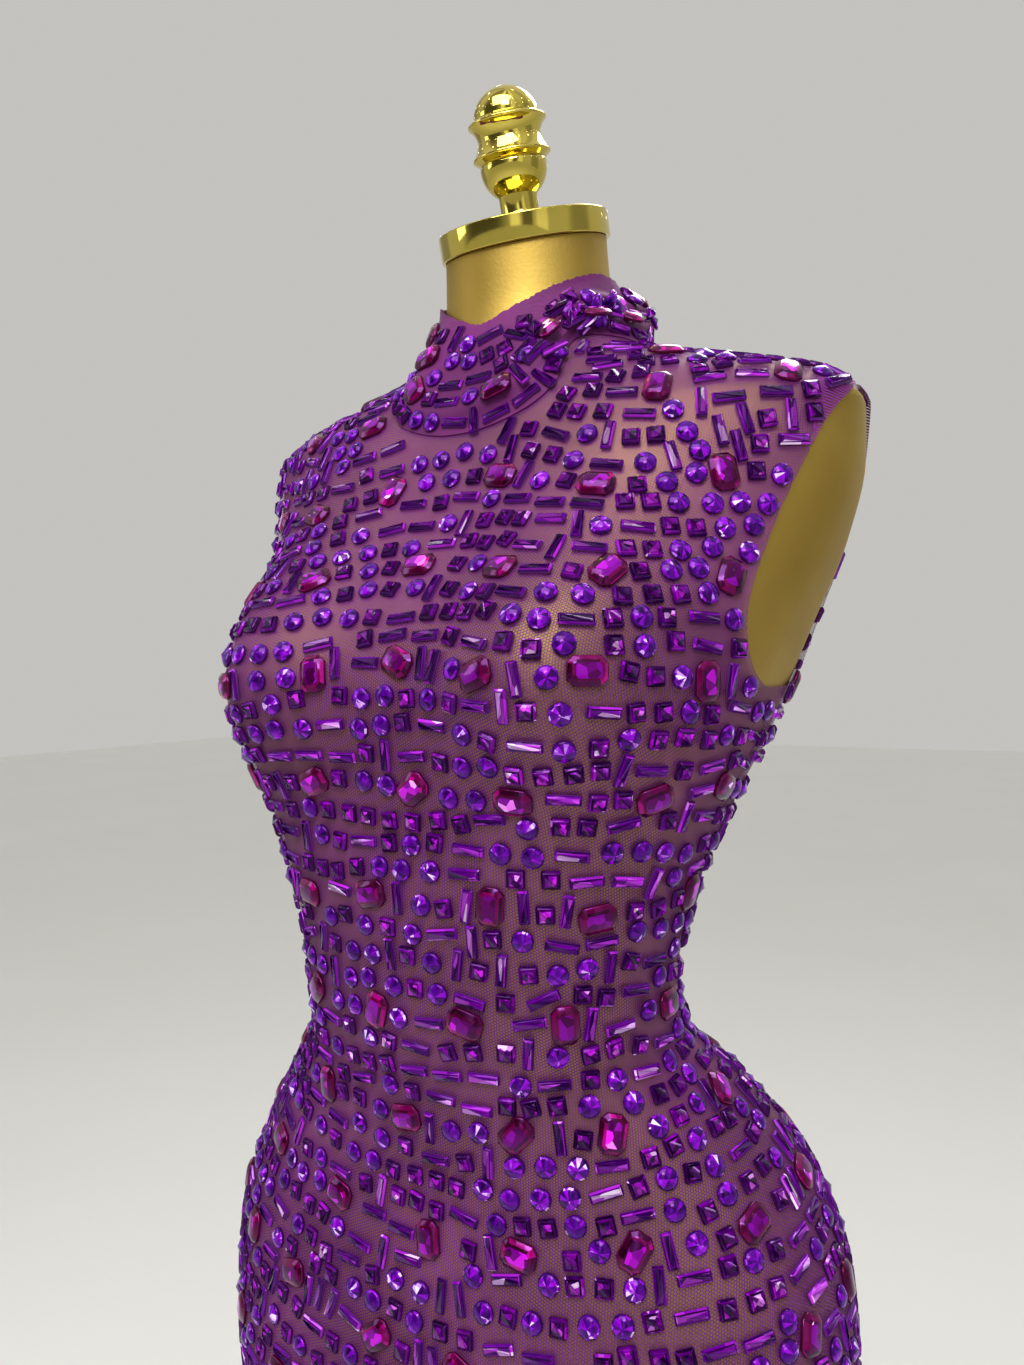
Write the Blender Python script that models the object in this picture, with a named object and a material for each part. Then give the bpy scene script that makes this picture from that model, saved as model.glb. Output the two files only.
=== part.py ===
# Sleeveless maxi dress of stretch net with a stand collar, on a limbless dress form with a stand.
# Metres, +Z up. The figure faces -Y and its left side is +X. The origin is on the floor, under the base.

from collections import namedtuple
from math import cos, pi, radians, sin, tan

import bmesh
import bpy
import numpy as np
from mathutils import Matrix, Vector

# Driving sizes
SEAM_GAP = 0.0003          # between pieces that are sewn or set together
FORM_GAP = 0.0007          # between the form and the inside of the cloth
NET_WALL = 0.0012          # one layer of net with its glue
COLLAR_WALL = 0.0016       # two layers
STEP = 9                   # degrees between the columns of every sheet and of the form
ARMHOLE_EASE = 45          # degrees: columns nearer the side than this move to the armhole

HEM = 0.070
FORM_BOTTOM = 0.700
YOKE = 1.345               # rows above this height fan out to the neckline and the shoulder seam
NECK_SIDE = 1.428          # where the shoulder seam meets the collar
NECK_FRONT = 1.366
NECK_BACK = 1.424
NECK_SCOOP = 8             # how sharply the neckline dips at the front
ARMHOLE_BOTTOM = 1.217
ARMHOLE_TOP = 1.382
ARMHOLE_FRONT = 28         # degrees from the side line to the armhole's front edge
ARMHOLE_BACK = 22
ARMHOLE_LIFT = 0.0015      # the raw edge round each armhole stands off the form by this much more

COLLAR_FRONT = 1.437       # top edge of the collar at the front
COLLAR_SIDE = 1.471
COLLAR_BACK = 1.476
COLLAR_STAND = 0.0030      # top edge of the collar off the neck
COLLAR_HUG = 0.0060        # how far the collar draws in between its two edges at the sides
COLLAR_SLOUCH = 0.0140     # how far it bulges out again over each shoulder blade

ZIP_BOTTOM = 0.880
ZIP_HALF = 0.0028          # half the width of the closed coil
ZIP_END_TAPER = 0.008

NECK_TOP = 1.500           # neck's end on its axis, under the cap
CAP_TILT = radians(16)     # the neck's end slants down to the front
CAP_RADIUS = 0.0555
CAP_THICK = 0.0160
FINIAL_HEIGHT = 0.0825

SLIDER_PART = 0.86         # where the slider sits on the collar's height
SLIDER_WIDE = 0.0084
SLIDER_THICK = 0.0028
SLIDER_LOW = -0.0060       # its ends, measured along the zip from its middle
SLIDER_HIGH = 0.0050
LUG_IN = 0.0019            # inner and outer faces of the two lugs that hold the tab
LUG_OUT = 0.0031
PIN_RADIUS = 0.0007
PIN_OUT = 0.0053           # hinge pin, off the cloth and up from the slider's middle
PIN_UP = 0.0025
TAB_HALF = 0.0016          # half the width of the tab's eye
TAB_EYE = 0.0019
TAB_BORE = 0.0010
TAB_THICK = 0.0014
TAB_LONG = 0.0260
TAB_LEAN = -6              # degrees from the line of the zip: below 0 the hanging tab leans in to the cloth

BASE_RADIUS = 0.200
BASE_THICK = 0.014
BOSS_RADIUS = 0.036
BOSS_TOP = 0.040
POLE_RADIUS = 0.016
SOCKET_DEPTH = 0.045

# The body's level sections: half a superellipse in front and half behind, on one centre line
Section = namedtuple("Section", "height half_width front back centre front_square back_square")
SECTIONS = (
    Section(0.040, 0.188, 0.124, 0.130, 0.000, 2.0, 2.0),
    Section(0.150, 0.180, 0.116, 0.122, 0.000, 2.0, 2.0),
    Section(0.300, 0.170, 0.104, 0.110, 0.000, 2.1, 2.1),
    Section(0.480, 0.166, 0.097, 0.102, 0.000, 2.1, 2.1),
    Section(0.600, 0.176, 0.099, 0.107, 0.000, 2.2, 2.1),
    Section(0.700, 0.192, 0.103, 0.119, 0.001, 2.2, 2.1),
    Section(0.780, 0.203, 0.108, 0.134, 0.002, 2.3, 2.1),
    Section(0.830, 0.205, 0.110, 0.139, 0.005, 2.3, 2.2),
    Section(0.880, 0.200, 0.111, 0.132, 0.012, 2.4, 2.3),
    Section(0.930, 0.182, 0.109, 0.115, 0.017, 2.3, 2.3),
    Section(0.980, 0.147, 0.103, 0.091, 0.008, 2.2, 2.3),
    Section(1.020, 0.117, 0.086, 0.077, -0.016, 2.2, 2.2),
    Section(1.050, 0.117, 0.085, 0.078, -0.021, 2.2, 2.1),
    Section(1.100, 0.127, 0.090, 0.083, -0.020, 2.2, 2.2),
    Section(1.150, 0.145, 0.093, 0.091, -0.009, 2.3, 2.3),
    Section(1.200, 0.166, 0.094, 0.096, 0.006, 2.3, 2.4),
    Section(1.250, 0.183, 0.093, 0.098, 0.022, 2.2, 2.5),
    Section(1.300, 0.199, 0.088, 0.097, 0.040, 2.1, 2.6),
    Section(1.345, 0.209, 0.085, 0.086, 0.046, 2.1, 2.6),
    Section(1.375, 0.210, 0.079, 0.077, 0.046, 2.0, 2.5),
    Section(1.389, 0.196, 0.074, 0.072, 0.045, 1.8, 2.0),
    Section(1.404, 0.150, 0.068, 0.068, 0.044, 1.6, 1.6),
    Section(1.418, 0.096, 0.062, 0.064, 0.046, 1.7, 1.7),
    Section(1.432, 0.069, 0.059, 0.061, 0.045, 1.8, 1.8),
    Section(1.460, 0.056, 0.053, 0.055, 0.041, 1.9, 1.9),
    Section(1.530, 0.052, 0.050, 0.050, 0.036, 2.0, 2.0),
)

# One cup of the bust, the same on each side
Cup = namedtuple("Cup", "out height reach across above below bridge span")
CUP = Cup(0.095, 1.235, 0.064, 0.050, 0.070, 0.050, 0.021, 0.034)  # the bridge fills the dip between the cups

# Soft folds of the skirt: where each lies and how wide it is in degrees, how deep at the hem, where it starts
Fold = namedtuple("Fold", "angle width depth start")
SKIRT_FOLDS = (
    Fold(22, 9, 0.018, 0.66),
    Fold(46, 9, -0.012, 0.60),
    Fold(68, 9, 0.019, 0.70),
    Fold(93, 10, -0.013, 0.58),
    Fold(117, 9, 0.020, 0.69),
    Fold(141, 9, -0.012, 0.60),
    Fold(163, 9, 0.018, 0.66),
    Fold(187, 9, -0.010, 0.56),
    Fold(212, 10, 0.019, 0.68),
    Fold(238, 9, -0.012, 0.60),
    Fold(260, 9, 0.018, 0.66),
    Fold(285, 9, -0.013, 0.58),
    Fold(308, 9, 0.020, 0.69),
    Fold(334, 9, -0.011, 0.60),
)

# Slouch folds of the collar: a crest from one place to the other, in degrees and in parts of its height
Crush = namedtuple("Crush", "from_angle from_part to_angle to_part depth width")
COLLAR_FOLDS = (
    Crush(100, 0.30, 15, 0.80, 0.0030, 0.13),
    Crush(60, 0.20, -20, 0.50, 0.0024, 0.12),
    Crush(165, 0.55, 110, 0.50, 0.0020, 0.14),
    Crush(225, 0.35, 185, 0.65, 0.0028, 0.14),
    Crush(340, 0.70, 300, 0.30, 0.0030, 0.14),
)

# Levels of the body's rows, close together where the figure turns
SKIRT_LEVELS = (0.070, 0.110, 0.190, 0.280, 0.370, 0.460, 0.545, 0.620, 0.675)
BODY_LEVELS = (0.715, 0.765, 0.815, 0.850, 0.872, 0.880, 0.915, 0.950, 0.980, 1.005, 1.030, 1.055,
               1.085, 1.120, 1.155, 1.190, 1.217, 1.2188, 1.2245, 1.235, 1.251, 1.275, 1.3015, 1.325, 1.345)
YOKE_PARTS = (0.17, 0.30, 0.39, 0.446, 0.56, 0.68, 0.80, 0.91, 1.0)
COLLAR_PARTS = (0.0, 0.12, 0.25, 0.38, 0.50, 0.62, 0.75, 0.88, 1.0)
NECK_PARTS = (0.25, 0.5, 0.75, 1.0)


def smooth(knots, values, at):
    """Monotone cubic through the knots, so that nothing overshoots between two sections."""
    knots = np.asarray(knots, float)
    values = np.asarray(values, float)
    step = np.diff(knots)
    slope = np.diff(values) / step
    before, after = slope[:-1], slope[1:]
    steady = before * after > 0
    near = 2 * step[1:] + step[:-1]
    far = step[1:] + 2 * step[:-1]
    tangent = np.zeros(len(knots))
    safe_before = np.where(steady, before, 1)
    safe_after = np.where(steady, after, 1)
    tangent[1:-1] = np.where(steady, (near + far) / (near / safe_before + far / safe_after), 0)
    tangent[0] = slope[0]
    tangent[-1] = slope[-1]
    place = np.clip(np.searchsorted(knots, at) - 1, 0, len(step) - 1)
    width = step[place]
    t = (at - knots[place]) / width
    start = values[place] * (1 + 2 * t) * (1 - t) ** 2 + width * tangent[place] * t * (1 - t) ** 2
    end = values[place + 1] * t * t * (3 - 2 * t) + width * tangent[place + 1] * t * t * (t - 1)
    return start + end


def bell(distance, width):
    return np.exp(-((distance / width) ** 2) / 2)


def turn_between(angle, other):
    """The short way round from one angle to the other, in degrees."""
    return (angle - other + 180) % 360 - 180


def figure(height, angle):
    """Points on the body. Angle 0 is its left side (+X), 90 the front and 270 the back, in degrees."""
    heights = [row.height for row in SECTIONS]
    half_width, front, back, centre, front_square, back_square = (
        smooth(heights, [row[column] for row in SECTIONS], height) for column in range(1, 7)
    )
    side = np.cos(np.radians(angle))
    ahead = np.sin(np.radians(angle))
    depth = np.where(ahead > 0, front, back)
    squareness = np.where(ahead > 0, front_square, back_square)
    x = half_width * np.sign(side) * np.abs(side) ** (2 / squareness)
    y = centre - depth * np.sign(ahead) * np.abs(ahead) ** (2 / squareness)
    rise = height - CUP.height
    rise = np.where(rise > 0, rise / CUP.above, rise / CUP.below)
    cups = ((-CUP.out, CUP.reach, CUP.across), (CUP.out, CUP.reach, CUP.across), (0, CUP.bridge, CUP.span))
    for middle, reach, across in cups:
        swell = bell((x - middle) / across, 1) * bell(rise, 1)
        y = y - np.where(ahead > 0, reach * swell, 0)
    return np.stack([x, y, height + 0 * x], axis=-1)


def outward(surface, height, angle):
    """Unit normals of a surface given by height and angle."""
    rise, turn = 0.001, 1.0
    up = surface(height + rise, angle) - surface(height - rise, angle)
    around = surface(height, angle + turn) - surface(height, angle - turn)
    normal = np.cross(up, around)
    return normal / np.linalg.norm(normal, axis=-1, keepdims=True)


def draped(height, angle):
    """The body's surface, with the skirt's folds below it."""
    points = figure(height, angle)
    wave = np.zeros(np.shape(points)[:-1])
    for fold in SKIRT_FOLDS:
        growth = np.clip((fold.start - height) / (fold.start - HEM), 0, 1)
        wave = wave + fold.depth * growth ** 1.3 * bell(turn_between(angle, fold.angle), fold.width)
    return points + wave[..., None] * outward(figure, height, angle)


def lifted(surface, height, angle, lift):
    return surface(height, angle) + lift * outward(surface, height, angle)


def neckline(angle):
    """Height of the seam between body and collar."""
    ahead = np.sin(np.radians(angle))
    dip = np.where(ahead > 0, NECK_SIDE - NECK_FRONT, NECK_SIDE - NECK_BACK)
    return NECK_SIDE - dip * np.abs(ahead) ** np.where(ahead > 0, NECK_SCOOP, 2)


def collar_top(angle):
    ahead = np.sin(np.radians(angle))
    front = COLLAR_FRONT + (COLLAR_SIDE - COLLAR_FRONT) * np.abs(np.cos(np.radians(angle))) ** 1.3
    back = COLLAR_SIDE + (COLLAR_BACK - COLLAR_SIDE) * np.abs(ahead)
    return np.where(ahead > 0, front, back)


def collar_sheet(part, angle):
    """The collar's middle surface: part 0 is its seam and 1 its top edge."""
    seam = lifted(figure, neckline(angle), angle, FORM_GAP + COLLAR_WALL / 2)
    top = lifted(figure, collar_top(angle), angle, COLLAR_STAND + COLLAR_WALL / 2)
    away = outward(figure, neckline(angle), angle) + outward(figure, collar_top(angle), angle)
    away = away / np.linalg.norm(away, axis=-1, keepdims=True)
    slouch = bell(turn_between(angle, 318), 24) + bell(turn_between(angle, 222), 24)
    sides = bell(turn_between(angle, 0), 26) + bell(turn_between(angle, 180), 26)
    bow = (COLLAR_SLOUCH * slouch - COLLAR_HUG * sides) * np.sin(pi * np.clip(part, 0, 1))
    for fold in COLLAR_FOLDS:
        middle = (fold.from_angle + fold.to_angle) / 2
        half = abs(fold.from_angle - fold.to_angle) / 2
        along = turn_between(angle, middle)
        crest = (fold.from_part + fold.to_part) / 2
        crest = crest + (fold.from_part - fold.to_part) / 2 * along / (fold.from_angle - middle)
        fade = np.clip(1 - (along / (half * 1.3)) ** 2, 0, 1)
        inside = np.clip(np.sin(pi * np.clip(part, 0, 1)) * 2, 0, 1)
        bow = bow + fold.depth * fade * inside * bell(part - crest, fold.width)
    share = np.asarray(part)[..., None]
    return seam * (1 - share) + top * share + bow[..., None] * away


def collar_outward(part, angle):
    """Across the collar's wall. At the seam it is the body's own normal, so the two edges lie face to face."""
    rise, turn = 0.02, 1.5
    up = collar_sheet(part + rise, angle) - collar_sheet(part - rise, angle)
    around = collar_sheet(part, angle + turn) - collar_sheet(part, angle - turn)
    normal = np.cross(up, around)
    normal = normal / np.linalg.norm(normal, axis=-1, keepdims=True)
    share = np.clip(part / 0.25, 0, 1)[..., None]
    normal = normal * share + outward(figure, neckline(angle), angle) * (1 - share)
    return normal / np.linalg.norm(normal, axis=-1, keepdims=True)


def armhole_edge(height, widest):
    """Degrees from the side line to the armhole's edge, 0 above and below it."""
    middle = (ARMHOLE_TOP + ARMHOLE_BOTTOM) / 2
    reach = (ARMHOLE_TOP - ARMHOLE_BOTTOM) / 2
    return widest * np.clip(1 - np.abs((height - middle) / reach) ** 2.2, 0, 1) ** 0.5


def material(name, colour, roughness, metallic=0.0):
    made = bpy.data.materials.new(name)
    made.use_nodes = True
    shader = made.node_tree.nodes["Principled BSDF"]
    shader.inputs["Base Color"].default_value = (*colour, 1)
    shader.inputs["Roughness"].default_value = roughness
    shader.inputs["Metallic"].default_value = metallic
    return made


def add_object(name, bm, colour, roughness, metallic=0.0, sharp=30):
    bmesh.ops.recalc_face_normals(bm, faces=bm.faces[:])
    if bm.calc_volume(signed=True) < 0:
        bmesh.ops.reverse_faces(bm, faces=bm.faces[:])
    mesh = bpy.data.meshes.new(name)
    bm.to_mesh(mesh)
    bm.free()
    mesh.materials.append(material(name, colour, roughness, metallic))
    mesh.shade_smooth()
    mesh.set_sharp_from_angle(angle=radians(sharp))
    made = bpy.data.objects.new(name, mesh)
    bpy.context.scene.collection.objects.link(made)
    return made


def grid_of(rows, columns):
    """A flat grid of triangles, all split the same way, so that two sheets on one grid stay parallel."""
    bm = bmesh.new()
    bmesh.ops.create_grid(bm, x_segments=columns - 1, y_segments=rows - 1, size=0.5)
    bmesh.ops.triangulate(bm, faces=bm.faces[:], quad_method="FIXED")
    return bm


def cell(vertex, rows, columns):
    return round((vertex.co.y + 0.5) * (rows - 1)), round((vertex.co.x + 0.5) * (columns - 1))


def sheet(name, inner, outer, colour, roughness):
    """A sheet of cloth as a closed wall, from the same rows and columns of points on its two faces."""
    rows, columns = inner.shape[:2]
    bm = grid_of(rows, columns)
    made = bmesh.ops.extrude_face_region(bm, geom=bm.faces[:])
    raised = {item for item in made["geom"] if isinstance(item, bmesh.types.BMVert)}
    for vertex in bm.verts:
        face = outer if vertex in raised else inner
        vertex.co = face[cell(vertex, rows, columns)]
    return add_object(name, bm, colour, roughness)


def turned(name, profile, segments, colour, roughness, metallic):
    """A solid of revolution about Z from (radius, height) points that start and end on the axis."""
    bm = bmesh.new()
    points = [bm.verts.new((radius, 0, height)) for radius, height in profile]
    edges = [bm.edges.new(pair) for pair in zip(points, points[1:])]
    bmesh.ops.spin(bm, geom=points + edges, cent=(0, 0, 0), axis=(0, 0, 1), angle=2 * pi,
                   steps=segments, use_merge=True)
    bmesh.ops.remove_doubles(bm, verts=bm.verts[:], dist=1e-6)
    return add_object(name, bm, colour, roughness, metallic)


def arc(centre, radius, start, end, points):
    """Points on an arc of a turned profile, with angles in degrees from the radius direction."""
    angles = np.radians(np.linspace(start, end, points))
    return [(centre[0] + radius * cos(a), centre[1] + radius * sin(a)) for a in angles]


def panel_heights(angles, levels, top_gap):
    """Level rows up to the yoke, then rows that fan out to the neckline."""
    rows = [np.full(len(angles), level) for level in levels]
    rows += [YOKE + part * (neckline(angles) - top_gap - YOKE) for part in YOKE_PARTS]
    return np.array(rows)


def panel(name, first, last, armhole, colour):
    """One panel of the dress between two angles. Its side edges run down the side seam and round the armhole."""
    angles = np.arange(first, last + STEP, STEP, dtype=float)
    heights = panel_heights(angles, SKIRT_LEVELS + BODY_LEVELS, SEAM_GAP / 2)
    side = np.where(angles - first < last - angles, first, last)
    side = np.where(side == 270, first + last - 270, side)
    from_side = np.abs(angles - side)
    edge = armhole_edge(heights, armhole)
    eased = edge + (ARMHOLE_EASE - edge) * from_side / ARMHOLE_EASE
    placed = side + np.where(side == first, 1, -1) * np.where(from_side < ARMHOLE_EASE, eased, from_side)
    walls = []
    loose = ARMHOLE_LIFT * np.clip(edge / 2, 0, 1) * np.clip(1 - from_side / ARMHOLE_EASE, 0, 1)
    for lift in (FORM_GAP, FORM_GAP + NET_WALL):
        points = lifted(draped, heights, placed, (lift + loose)[..., None])
        for column, angle in ((0, first), (-1, last)):
            points[:, column] += edge_shift(first, angle, heights[:, column], edge[:, column])
        walls.append(points)
    return sheet(name, walls[0], walls[1], colour, 0.55)


def edge_shift(first, angle, heights, armhole):
    """Half a seam gap along the side and shoulder seams, and room for the zip at the centre back."""
    shift = np.zeros((len(heights), 3))
    if angle == 270:
        inside = 1 if first == 270 else -1
        zipped = np.clip((heights - ZIP_BOTTOM + ZIP_END_TAPER) / ZIP_END_TAPER, 0, 1)
        shift[:, 0] = inside * (SEAM_GAP / 2 + zipped * (ZIP_HALF + SEAM_GAP / 2))
    else:
        inside = -1 if first == 0 else 1
        shift[:, 1] = np.where(armhole == 0, inside * SEAM_GAP / 2, 0)
    return shift


def collar(colour):
    """The stand collar, one sheet round the neck, open at the centre back for the zip."""
    angles = np.arange(-90, 270 + STEP, STEP, dtype=float)
    parts = np.array(COLLAR_PARTS)
    part, angle = np.meshgrid(parts, angles, indexing="ij")
    middle = collar_sheet(part, angle)
    middle[:, 0, 0] += ZIP_HALF + SEAM_GAP
    middle[:, -1, 0] -= ZIP_HALF + SEAM_GAP
    across = collar_outward(part, angle) * COLLAR_WALL / 2
    lowest = np.zeros_like(middle)
    lowest[0, :, 2] = SEAM_GAP / 2
    return sheet("collar", middle - across + lowest, middle + across + lowest, colour, 0.6)


def zip_coil(colour):
    """The closed coil, from the hip to the collar's top, in the gap between the back panels."""
    levels = np.array([level for level in BODY_LEVELS if level >= ZIP_BOTTOM])
    yoke = YOKE + np.array(YOKE_PARTS) * (NECK_BACK - YOKE)
    heights = np.concatenate([levels, yoke[:-1]])[:, None] + np.zeros(2)
    heights[0] += SEAM_GAP
    angle = np.full(heights.shape, 270.0)
    parts = np.array(COLLAR_PARTS)[:, None] + np.zeros(2)
    collar_angle = np.full(parts.shape, 270.0)
    along = (-ZIP_HALF, ZIP_HALF)
    walls = []
    for lift in (0, NET_WALL):
        below = lifted(draped, heights, angle, FORM_GAP + lift)
        above = collar_sheet(parts, collar_angle)
        above = above + collar_outward(parts, collar_angle) * (lift - COLLAR_WALL / 2)
        points = np.concatenate([below, above])
        points[..., 0] = along
        walls.append(points)
    return sheet("zip_coil", walls[0], walls[1], colour, 0.5)


def form_torso(colour):
    """Neck, shoulders and body in one smooth solid, whole under the cloth and in its armholes."""
    angles = np.arange(0, 360 + STEP, STEP, dtype=float)
    levels = (FORM_BOTTOM + 0.005,) + BODY_LEVELS
    heights = panel_heights(angles, levels, 0)
    underside = figure(np.full(len(angles), FORM_BOTTOM), angles)
    flat = underside * (0.93, 0.93, 1)
    rounded = underside * (0.98, 0.98, 1) + (0, 0, 0.0015)
    points = np.concatenate([[flat], [rounded], figure(heights, angles)])
    end = neck_end(angles)
    neck = [figure(neckline(angles) + part * (end - neckline(angles)), angles) for part in NECK_PARTS]
    points = np.concatenate([points, np.array(neck)])
    rows, columns = points.shape[:2]
    bm = grid_of(rows, columns)
    for vertex in bm.verts:
        vertex.co = points[cell(vertex, rows, columns)]
    bmesh.ops.remove_doubles(bm, verts=bm.verts[:], dist=1e-6)
    bmesh.ops.holes_fill(bm, edges=[edge for edge in bm.edges if edge.is_boundary])
    return add_object("form_torso", bm, colour, 0.3, 1.0)


def neck_end(angles):
    """Height of the neck's slanted end, in the plane under the cap."""
    end = np.full(len(angles), NECK_TOP)
    for _ in range(4):
        end = NECK_TOP + tan(CAP_TILT) * (figure(end, angles)[:, 1] - neck_axis())
    return end


def neck_axis():
    """How far back the neck's centre lies where it ends."""
    return float(np.mean(figure(np.full(2, NECK_TOP), np.array([90.0, 270.0]))[:, 1]))


def set_on_neck(piece, above):
    """A turned piece on the neck's slanted end, this far above it."""
    piece.rotation_euler = (CAP_TILT, 0, 0)
    piece.location = Vector((0, neck_axis(), NECK_TOP)) + Matrix.Rotation(CAP_TILT, 3, "X") @ Vector((0, 0, above))


def form_cap(colour):
    edge = 0.0015
    profile = [(0, 0), (CAP_RADIUS - edge, 0)]
    profile += arc((CAP_RADIUS - edge, edge), edge, -60, 0, 3)
    profile += arc((CAP_RADIUS - edge, CAP_THICK - edge), edge, 0, 60, 3)
    profile += [(CAP_RADIUS - 2 * edge, CAP_THICK), (0, CAP_THICK)]
    made = turned("form_cap", profile, 32, colour, 0.12, 1.0)
    set_on_neck(made, SEAM_GAP)
    return made


def form_finial(colour):
    """Foot, stem, bulb, two sharp rims with a waist between them, and a dome."""
    rim, bulb, stem, foot = 0.0250, 0.0215, 0.0125, 0.0160
    profile = [(0, 0), (foot, 0)]
    profile += arc((foot - 0.001, 0.0025), 0.0025, -30, 60, 3)
    profile += [(stem + 0.0005, 0.006), (stem, 0.008), (stem, 0.0165)]
    profile += arc((0.0015, 0.0345), 0.0200, -52, 0, 5)
    profile += [(bulb, 0.038), (rim, 0.0405), (rim, 0.0420), (0.0215, 0.0510)]
    profile += [(0.0205, 0.0550), (rim, 0.0640), (rim, 0.0655)]
    dome = FINIAL_HEIGHT - 0.0670
    profile += [((rim - 0.0045) * cos(a), 0.0670 + dome * sin(a)) for a in np.radians((0, 18, 36, 54, 72))]
    profile += [(0, FINIAL_HEIGHT)]
    made = turned("form_finial", profile, 24, colour, 0.1, 1.0)
    set_on_neck(made, SEAM_GAP + CAP_THICK + SEAM_GAP)
    return made


def stand(colour):
    """Socket under the form, pole and round base. Each stands in the next with a seam gap."""
    bore = POLE_RADIUS + SEAM_GAP
    under = FORM_BOTTOM - SEAM_GAP
    socket = [(0, under), (0.045, under), (0.045, under - 0.006), (0.024, under - 0.010),
              (0.024, under - SOCKET_DEPTH), (bore, under - SOCKET_DEPTH), (bore, under - 0.006), (0, under - 0.006)]
    turned("form_socket", socket, 24, colour, 0.25, 1.0)
    pole_top = under - 0.006 - SEAM_GAP
    pole_foot = BASE_THICK + SEAM_GAP
    pole = [(0, pole_foot), (POLE_RADIUS, pole_foot), (POLE_RADIUS, pole_top), (0, pole_top)]
    turned("form_pole", pole, 24, colour, 0.25, 1.0)
    round_edge = 0.004
    base = [(0, 0), (BASE_RADIUS - round_edge, 0)]
    base += arc((BASE_RADIUS - round_edge, round_edge), round_edge, -60, 60, 5)
    base += [(BASE_RADIUS - 0.008, 0.0085), (BOSS_RADIUS + 0.006, BASE_THICK), (BOSS_RADIUS, BASE_THICK + 0.006),
             (0.022, BOSS_TOP), (bore, BOSS_TOP), (bore, BASE_THICK), (0, BASE_THICK)]
    turned("form_base", base, 40, colour, 0.2, 1.0)


def cylinder_along_x(radius, length, segments=16):
    bm = bmesh.new()
    turn = Matrix.Rotation(radians(90), 4, "Y")
    bmesh.ops.create_cone(bm, cap_ends=True, segments=segments, radius1=radius, radius2=radius,
                          depth=length, matrix=turn)
    return bm


def box(bm, low, high):
    """A block between two corners."""
    low, high = Vector(low), Vector(high)
    placed = Matrix.Translation((low + high) / 2) @ Matrix.Diagonal((*(high - low), 1))
    return bmesh.ops.create_cube(bm, size=1, matrix=placed)


def helper(name, bm, parent):
    """A shape that only joins or cuts another, kept out of the part."""
    made = add_object(name, bm, (0.5, 0.5, 0.5), 0.5)
    made.hide_render = True
    made.display_type = "WIRE"
    made.parent = parent
    return made


def combine(piece, other, operation):
    step = piece.modifiers.new(operation.title(), "BOOLEAN")
    step.operation = operation
    step.object = other


def zip_frame():
    """Middle of the slider on the collar's outer face, and the slope of the zip there."""
    angle = np.full(3, 270.0)
    parts = np.array([SLIDER_PART - 0.06, SLIDER_PART, SLIDER_PART + 0.06])
    outer = collar_sheet(parts, angle) + collar_outward(parts, angle) * COLLAR_WALL / 2
    rise = outer[2] - outer[0]
    slope = float(np.arctan2(-rise[1], rise[2]))
    return Vector((0, outer[1][1], outer[1][2])), slope


def zip_slider(colour):
    """Slider body with two lugs and the hinge pin between them. It sits closed at the collar's top."""
    bm = bmesh.new()
    half = SLIDER_WIDE / 2
    top = SEAM_GAP + SLIDER_THICK
    box(bm, (-half, SEAM_GAP, SLIDER_LOW), (half, top, SLIDER_HIGH))
    upright = [edge for edge in bm.edges if abs((edge.verts[0].co - edge.verts[1].co).normalized().y) > 0.9]
    bmesh.ops.bevel(bm, geom=upright, offset=0.0022, segments=3, affect="EDGES", profile=0.5)
    slider = add_object("zip_slider", bm, colour, 0.3, 1.0)
    slider.location, slope = zip_frame()
    slider.rotation_euler = (slope, 0, 0)
    lugs = bmesh.new()
    for side in (-1, 1):
        inner, outer = sorted((side * LUG_IN, side * LUG_OUT))
        box(lugs, (inner, top - 0.0006, PIN_UP - 0.0016), (outer, PIN_OUT + 0.0014, PIN_UP + 0.0016))
    combine(slider, helper("slider_lugs", lugs, slider), "UNION")
    pin = cylinder_along_x(PIN_RADIUS, LUG_IN + LUG_OUT)
    bmesh.ops.translate(pin, verts=pin.verts[:], vec=(0, PIN_OUT, PIN_UP))
    combine(slider, helper("slider_pin", pin, slider), "UNION")
    return slider


def zip_pull_tab(colour, slider):
    """Pull tab, hung on the slider's pin. Its origin is on the pin's axis."""
    outline = ((TAB_HALF, -0.0010), (TAB_HALF, -0.0045), (0.0024, -0.0100), (0.0034, -0.0180), (0.0034, -0.0225),
               (0.0022, -TAB_LONG + 0.0008), (0, -TAB_LONG))
    rim = list(outline) + [(-x, z) for x, z in reversed(outline[:-1])]
    bm = bmesh.new()
    corners = [bm.verts.new((x, -TAB_THICK / 2, z)) for x, z in rim]
    face = bm.faces.new(corners)
    made = bmesh.ops.extrude_face_region(bm, geom=[face])
    raised = [item for item in made["geom"] if isinstance(item, bmesh.types.BMVert)]
    bmesh.ops.translate(bm, verts=raised, vec=(0, TAB_THICK, 0))
    tab = add_object("zip_pull_tab", bm, colour, 0.3, 1.0)
    tilt = Matrix.Rotation(slider.rotation_euler.x, 3, "X")
    tab.location = slider.location + tilt @ Vector((0, PIN_OUT, PIN_UP))
    tab.rotation_euler = (slider.rotation_euler.x + radians(TAB_LEAN), 0, 0)
    combine(tab, helper("tab_eye", cylinder_along_x(TAB_EYE, 2 * TAB_HALF), tab), "UNION")
    combine(tab, helper("tab_bore", cylinder_along_x(TAB_BORE, 4 * TAB_HALF), tab), "DIFFERENCE")
    return tab


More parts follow.
